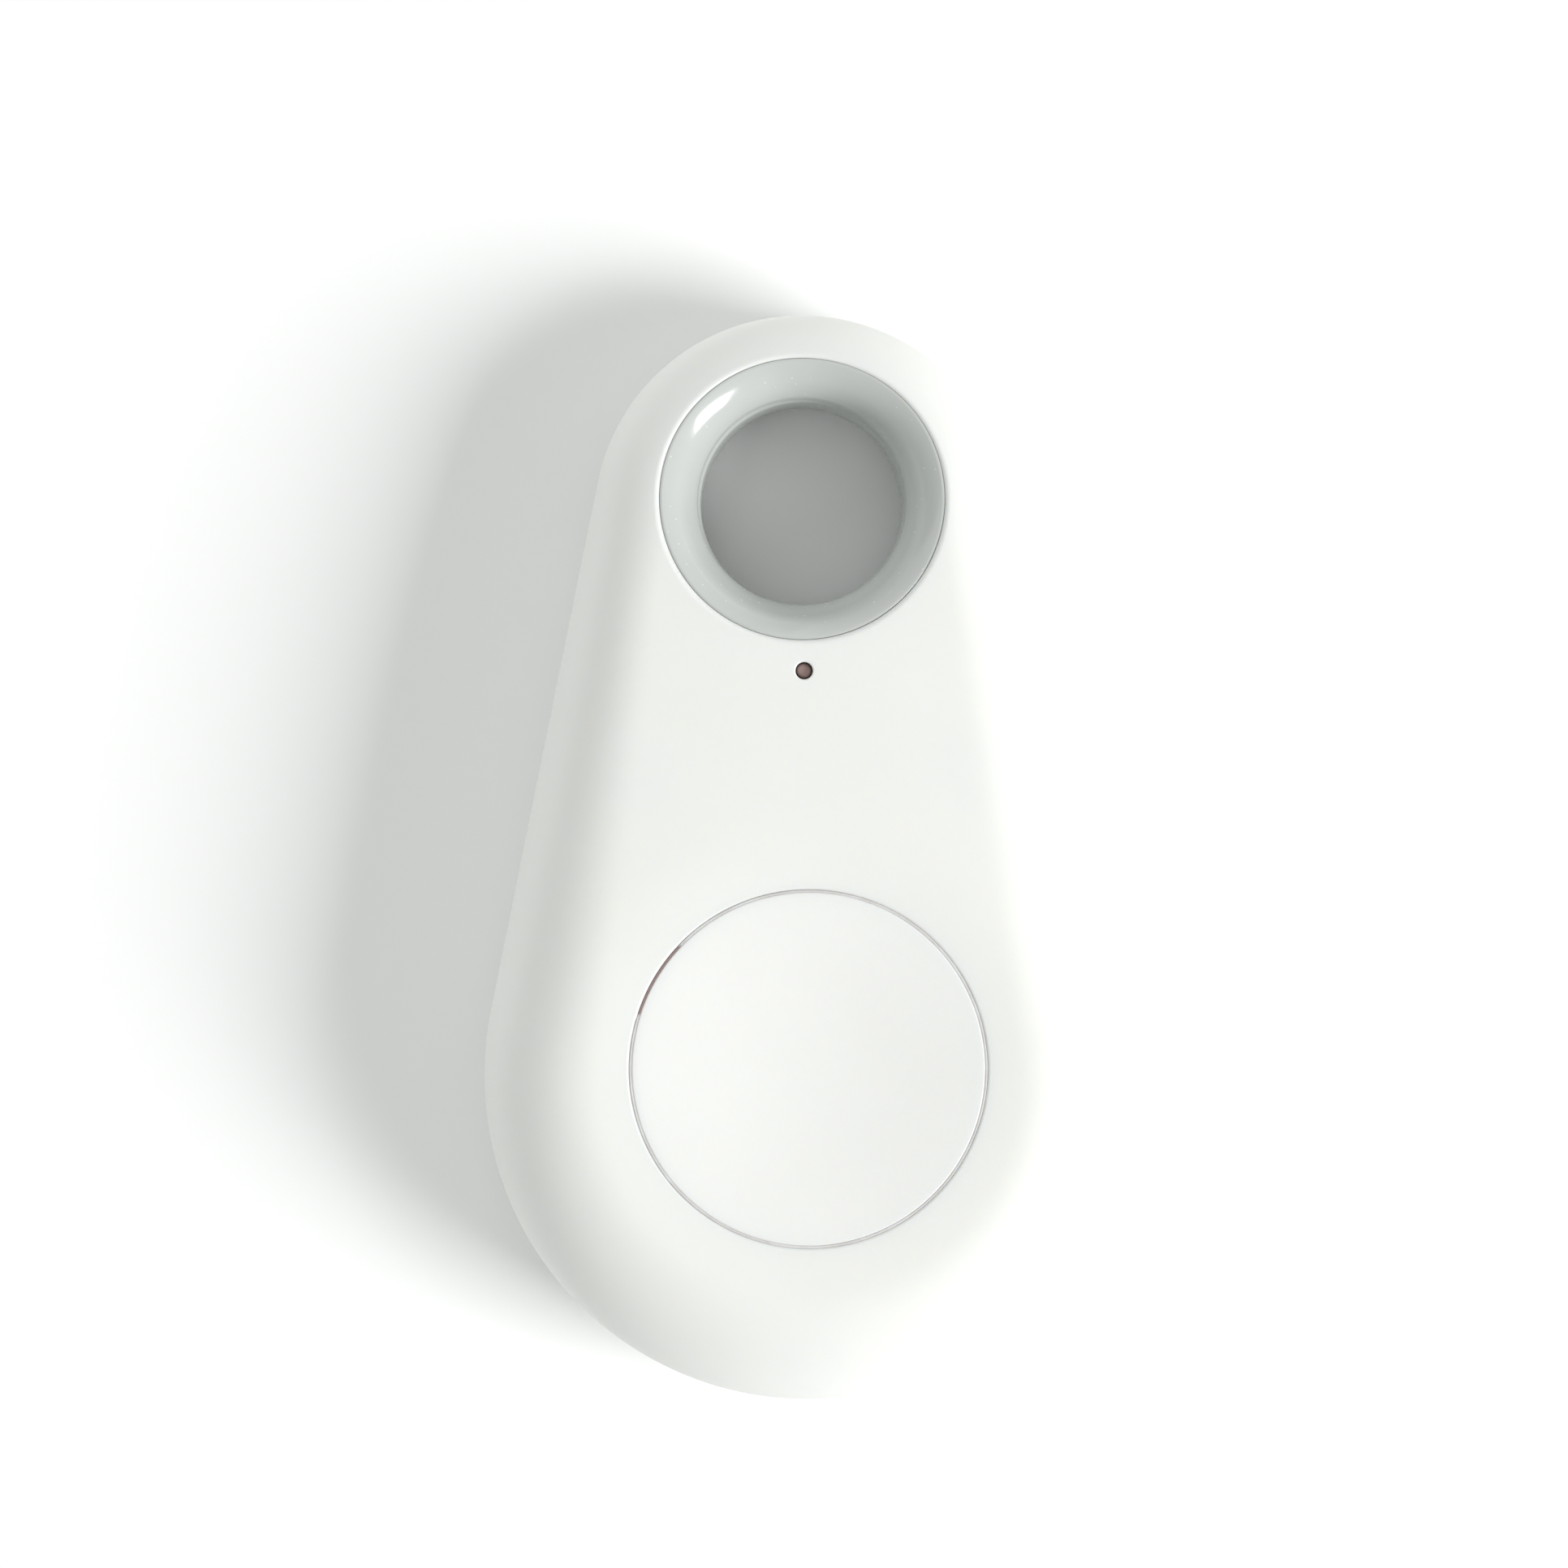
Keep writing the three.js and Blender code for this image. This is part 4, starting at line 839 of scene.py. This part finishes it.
FELT = moulded("felted_fibre", (0.85, 0.85, 0.83), (0.75, 0.75, 0.73), 0.85, grain=0.012 * MM).material
LITHIUM = metal("lithium_foil", (0.7, 0.7, 0.72), (0.5, 0.5, 0.53), 0.4, (1, 1, 1), tight=0.3 * MM)


# ---- turned parts inside ----
def softened_profile(profile, radius):
    """A closed [radius, z] profile with its corners cut back for an arc each."""
    soft = []
    for i, here in enumerate(profile):
        before, after = profile[i - 1], profile[(i + 1) % len(profile)]
        if here[0] < 1e-9:
            soft.append(here)
            continue
        corner = Vector((*here, 0))
        ways = [Vector((*other, 0)) - corner for other in (before, after)]
        cut = min(radius, *(way.length * 0.4 for way in ways))
        start, end = (corner + way.normalized() * cut for way in ways)
        for step in range(4):
            share = step / 3
            point = start.lerp(corner, share).lerp(corner.lerp(end, share), share)
            soft.append((point.x, point.y))
    return soft


def turned_piece(node, body, slot, material, profile, rounding=0.1 * MM, steps=160):
    """A lathe-turned piece in place of a CAD node, about that node's own upright axis."""
    low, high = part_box(node)
    bm = bmesh.new()
    points = softened_profile(profile, rounding)
    if profile[0][0] > 1e-9:
        points.append(points[0])
    spun(bm, points, (low.y + high.y) / 2, steps)
    return finish_piece(bm, f"{node}_turned", body, slot, material, [node])


def coin_cell():
    can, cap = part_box("cell_can"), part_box("cell_cap")
    radius, metal_gauge = can[1].x, 0.25 * MM
    turned_piece("cell_can", "coin_cell", "steel", cell_steel("can_steel", CELL_Y, marked=True), [
        (0, can[0].z), (radius, can[0].z), (radius, can[1].z - 0.15 * MM), (radius - 0.32 * MM, can[1].z),
        (radius - 0.6 * MM, can[1].z - 0.1 * MM), (radius - metal_gauge, can[1].z - 0.4 * MM),
        (radius - metal_gauge, can[0].z + metal_gauge), (0, can[0].z + metal_gauge)], rounding=0.35 * MM)
    radius = cap[1].x
    turned_piece("cell_cap", "coin_cell", "steel", cell_steel("cap_steel", CELL_Y), [
        (0, cap[1].z), (radius - 0.9 * MM, cap[1].z), (radius - 0.6 * MM, cap[1].z - 0.5 * MM),
        (radius, cap[1].z - 0.7 * MM), (radius, cap[0].z), (radius - metal_gauge, cap[0].z),
        (radius - metal_gauge, cap[1].z - 0.9 * MM), (radius - 1.2 * MM, cap[1].z - metal_gauge),
        (0, cap[1].z - metal_gauge)], rounding=0.3 * MM)


coin_cell()


def light_guide():
    low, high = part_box("led_lens")
    radius, foot = PIN_RADIUS - 0.05 * MM, low.z + 0.35 * MM
    bm = bmesh.new()
    profile = [(0, low.z + 0.1 * MM), (radius, low.z + 0.1 * MM)]
    profile += [(radius - 0.06 * MM * (1 - math.cos(a)), high.z - 0.09 * MM + 0.06 * MM * math.sin(a))
                for a in (0, math.radians(45), math.radians(90))]
    profile += [(radius * 0.5, high.z - 0.01 * MM), (0, high.z)]
    spun(bm, profile, PIN_Y, 64)
    block = bmesh.ops.create_cube(bm, size=1)["verts"]
    size = (high.x - low.x, high.y - low.y, foot - low.z)
    bmesh.ops.scale(bm, verts=block, vec=size)
    bmesh.ops.translate(bm, verts=block, vec=(0, PIN_Y, (foot + low.z) / 2))
    edges = list({edge for vert in block for edge in vert.link_edges})
    bmesh.ops.bevel(bm, geom=edges, offset=0.05 * MM, affect="EDGES", segments=2, profile=0.5, material=-1)
    return finish_piece(bm, "light_guide", "tag_body", "lens", smoked_guide(), ["led_lens"])


light_guide()

# ---- the other parts, from their CAD solids with their edges broken ----
EDGE_ANGLE = math.radians(28)
BODY_OF = {node: body for body, nodes in frame["record"]["behaviour"]["bodies"].items() for node in nodes}


def edge_broken(node, slot, material, chamfer):
    """A copy of a CAD node with flat faces joined, its sharp edges chamfered and its round sides smooth."""
    bm = bmesh.new()
    bm.from_mesh(frame["nodes"][node].data)
    bmesh.ops.remove_doubles(bm, verts=bm.verts, dist=1e-6)
    bmesh.ops.dissolve_limit(bm, angle_limit=math.radians(0.5), verts=bm.verts, edges=bm.edges)
    sharp = [edge for edge in bm.edges if edge.is_manifold and edge.calc_face_angle() > EDGE_ANGLE]
    bmesh.ops.bevel(bm, geom=sharp, offset=chamfer, affect="EDGES", segments=1, profile=0.5, material=-1,
                    clamp_overlap=True)
    piece = finish_piece(bm, f"{node}_part", BODY_OF[node], slot, material, [node])
    piece.data.set_sharp_from_angle(angle=EDGE_ANGLE)
    return piece


INSIDE = [
    (["circuit_board"], "board", solder_mask(), 0.06),
    (["battery_holder"], "holder", BLACK, 0.12),
    (["buzzer_base", "switch_housing"], "dark_plastic", BLACK, 0.08),
    (["buzzer_case"], "dark_plastic", BLACK, 0.15),
    (["board_screw_1", "board_screw_2", "board_screw_3"], "steel", STEEL, 0.05),
    (["switch_frame", "buzzer_yoke", "buzzer_diaphragm"], "steel", STEEL, 0.02),
    (["switch_dome", "positive_contact", "negative_contact"], "contact", SPRING, 0.02),
    (["switch_plunger"], "button", CREAM, 0.08),
    (["buzzer_coil"], "copper", COPPER, 0.05),
    (["antenna_trace"], "copper", GOLD, 0.015),
    (["buzzer_magnet"], "magnet", FERRITE, 0.05),
    (["cell_gasket"], "dark_plastic", GASKET, 0.04),
    (["cathode_pellet"], "cathode", CATHODE, 0.08),
    (["separator_disc"], "separator", FELT, 0.02),
    (["lithium_disc"], "lithium", LITHIUM, 0.04),
    (["led_package"], "led_body", LED_WHITE, 0.04),
    (["crystal", "sleep_crystal"], "steel", STEEL, 0.06),
    (["inductor"], "magnet", FERRITE, 0.06),
    (["radio_chip"], "dark_plastic", chip_epoxy("radio_chip"), 0.06),
]
for nodes, slot, material, chamfer in INSIDE:
    for node in nodes:
        edge_broken(node, slot, material, chamfer * MM)
for number in range(1, 7):
    node = f"capacitor_{number}"
    edge_broken(node, "chip_ceramic", ended_chip(node, (0.36, 0.24, 0.14), (0.44, 0.31, 0.19)), 0.04 * MM)
for number in range(1, 5):
    node = f"resistor_{number}"
    edge_broken(node, "resistor", ended_chip(node, (0.02, 0.02, 0.022), (0.04, 0.04, 0.042)), 0.03 * MM)

# ---- stage, lights, camera ----
def aimed(name, kind, place, target, **settings):
    light = bpy.data.lights.new(name, kind)
    for key, value in settings.items():
        setattr(light, key, value)
    holder = bpy.data.objects.new(name, light)
    holder.location = place
    holder.rotation_euler = (Vector(target) - Vector(place)).to_track_quat("-Z", "Y").to_euler()
    bpy.context.scene.collection.objects.link(holder)
    return holder


def from_compass(azimuth, elevation, distance):
    """A place round the object from its compass angles in degrees."""
    flat = distance * math.cos(math.radians(elevation))
    turn = math.radians(azimuth)
    return flat * math.cos(turn), flat * math.sin(turn), distance * math.sin(math.radians(elevation))


FLOOR_HALF = 1.5
FLOOR_GAP = 0.02 * MM  # keeps the floor and the cover's flat face apart


def studio():
    bm = bmesh.new()
    bmesh.ops.create_grid(bm, x_segments=1, y_segments=1, size=FLOOR_HALF)
    bmesh.ops.translate(bm, verts=bm.verts, vec=(0, 0, -FLOOR_GAP))
    mesh = bpy.data.meshes.new("floor")
    bm.to_mesh(mesh)
    bm.free()
    floor = bpy.data.objects.new("floor", mesh)
    bpy.context.scene.collection.objects.link(floor)
    paper = Finish("floor_paper", Roughness=0.8, Specular_IOR_Level=0.2)
    fibres = paper.noise(2.2 * MM, 4)
    paper.feed(Base_Color=paper.mixed(fibres, (0.985, 0.992, 0.985), (0.995, 1.0, 0.995)))
    mesh.materials.append(paper.material)
    world = bpy.data.worlds.new("studio")
    world.use_nodes = True
    world.node_tree.nodes["Background"].inputs["Color"].default_value = (0.985, 1.0, 0.99, 1)
    world.node_tree.nodes["Background"].inputs["Strength"].default_value = 0.52
    bpy.context.scene.world = world
    aimed("key_light", "AREA", from_compass(-22, 33, 1.0), (0, 0, 0), energy=8.8, size=0.4, size_y=0.4)
    aimed("fill_light", "AREA", from_compass(115, 22, 1.2), (0, 0, 0), energy=4.0, size=1.2, size_y=0.7)


studio()

LENS_MM = 96.34
SENSOR_MM = 36.0
camera_data = bpy.data.cameras.new("camera")
camera_data.lens = LENS_MM
camera_data.sensor_width = SENSOR_MM
camera = bpy.data.objects.new("camera", camera_data)
camera.location = (-1.0 * MM, 3.45 * MM, 207 * MM)
camera.rotation_euler = (0, 0, math.radians(-0.61))
bpy.context.scene.collection.objects.link(camera)
bpy.context.scene.camera = camera
bpy.context.scene.view_settings.view_transform = "Standard"
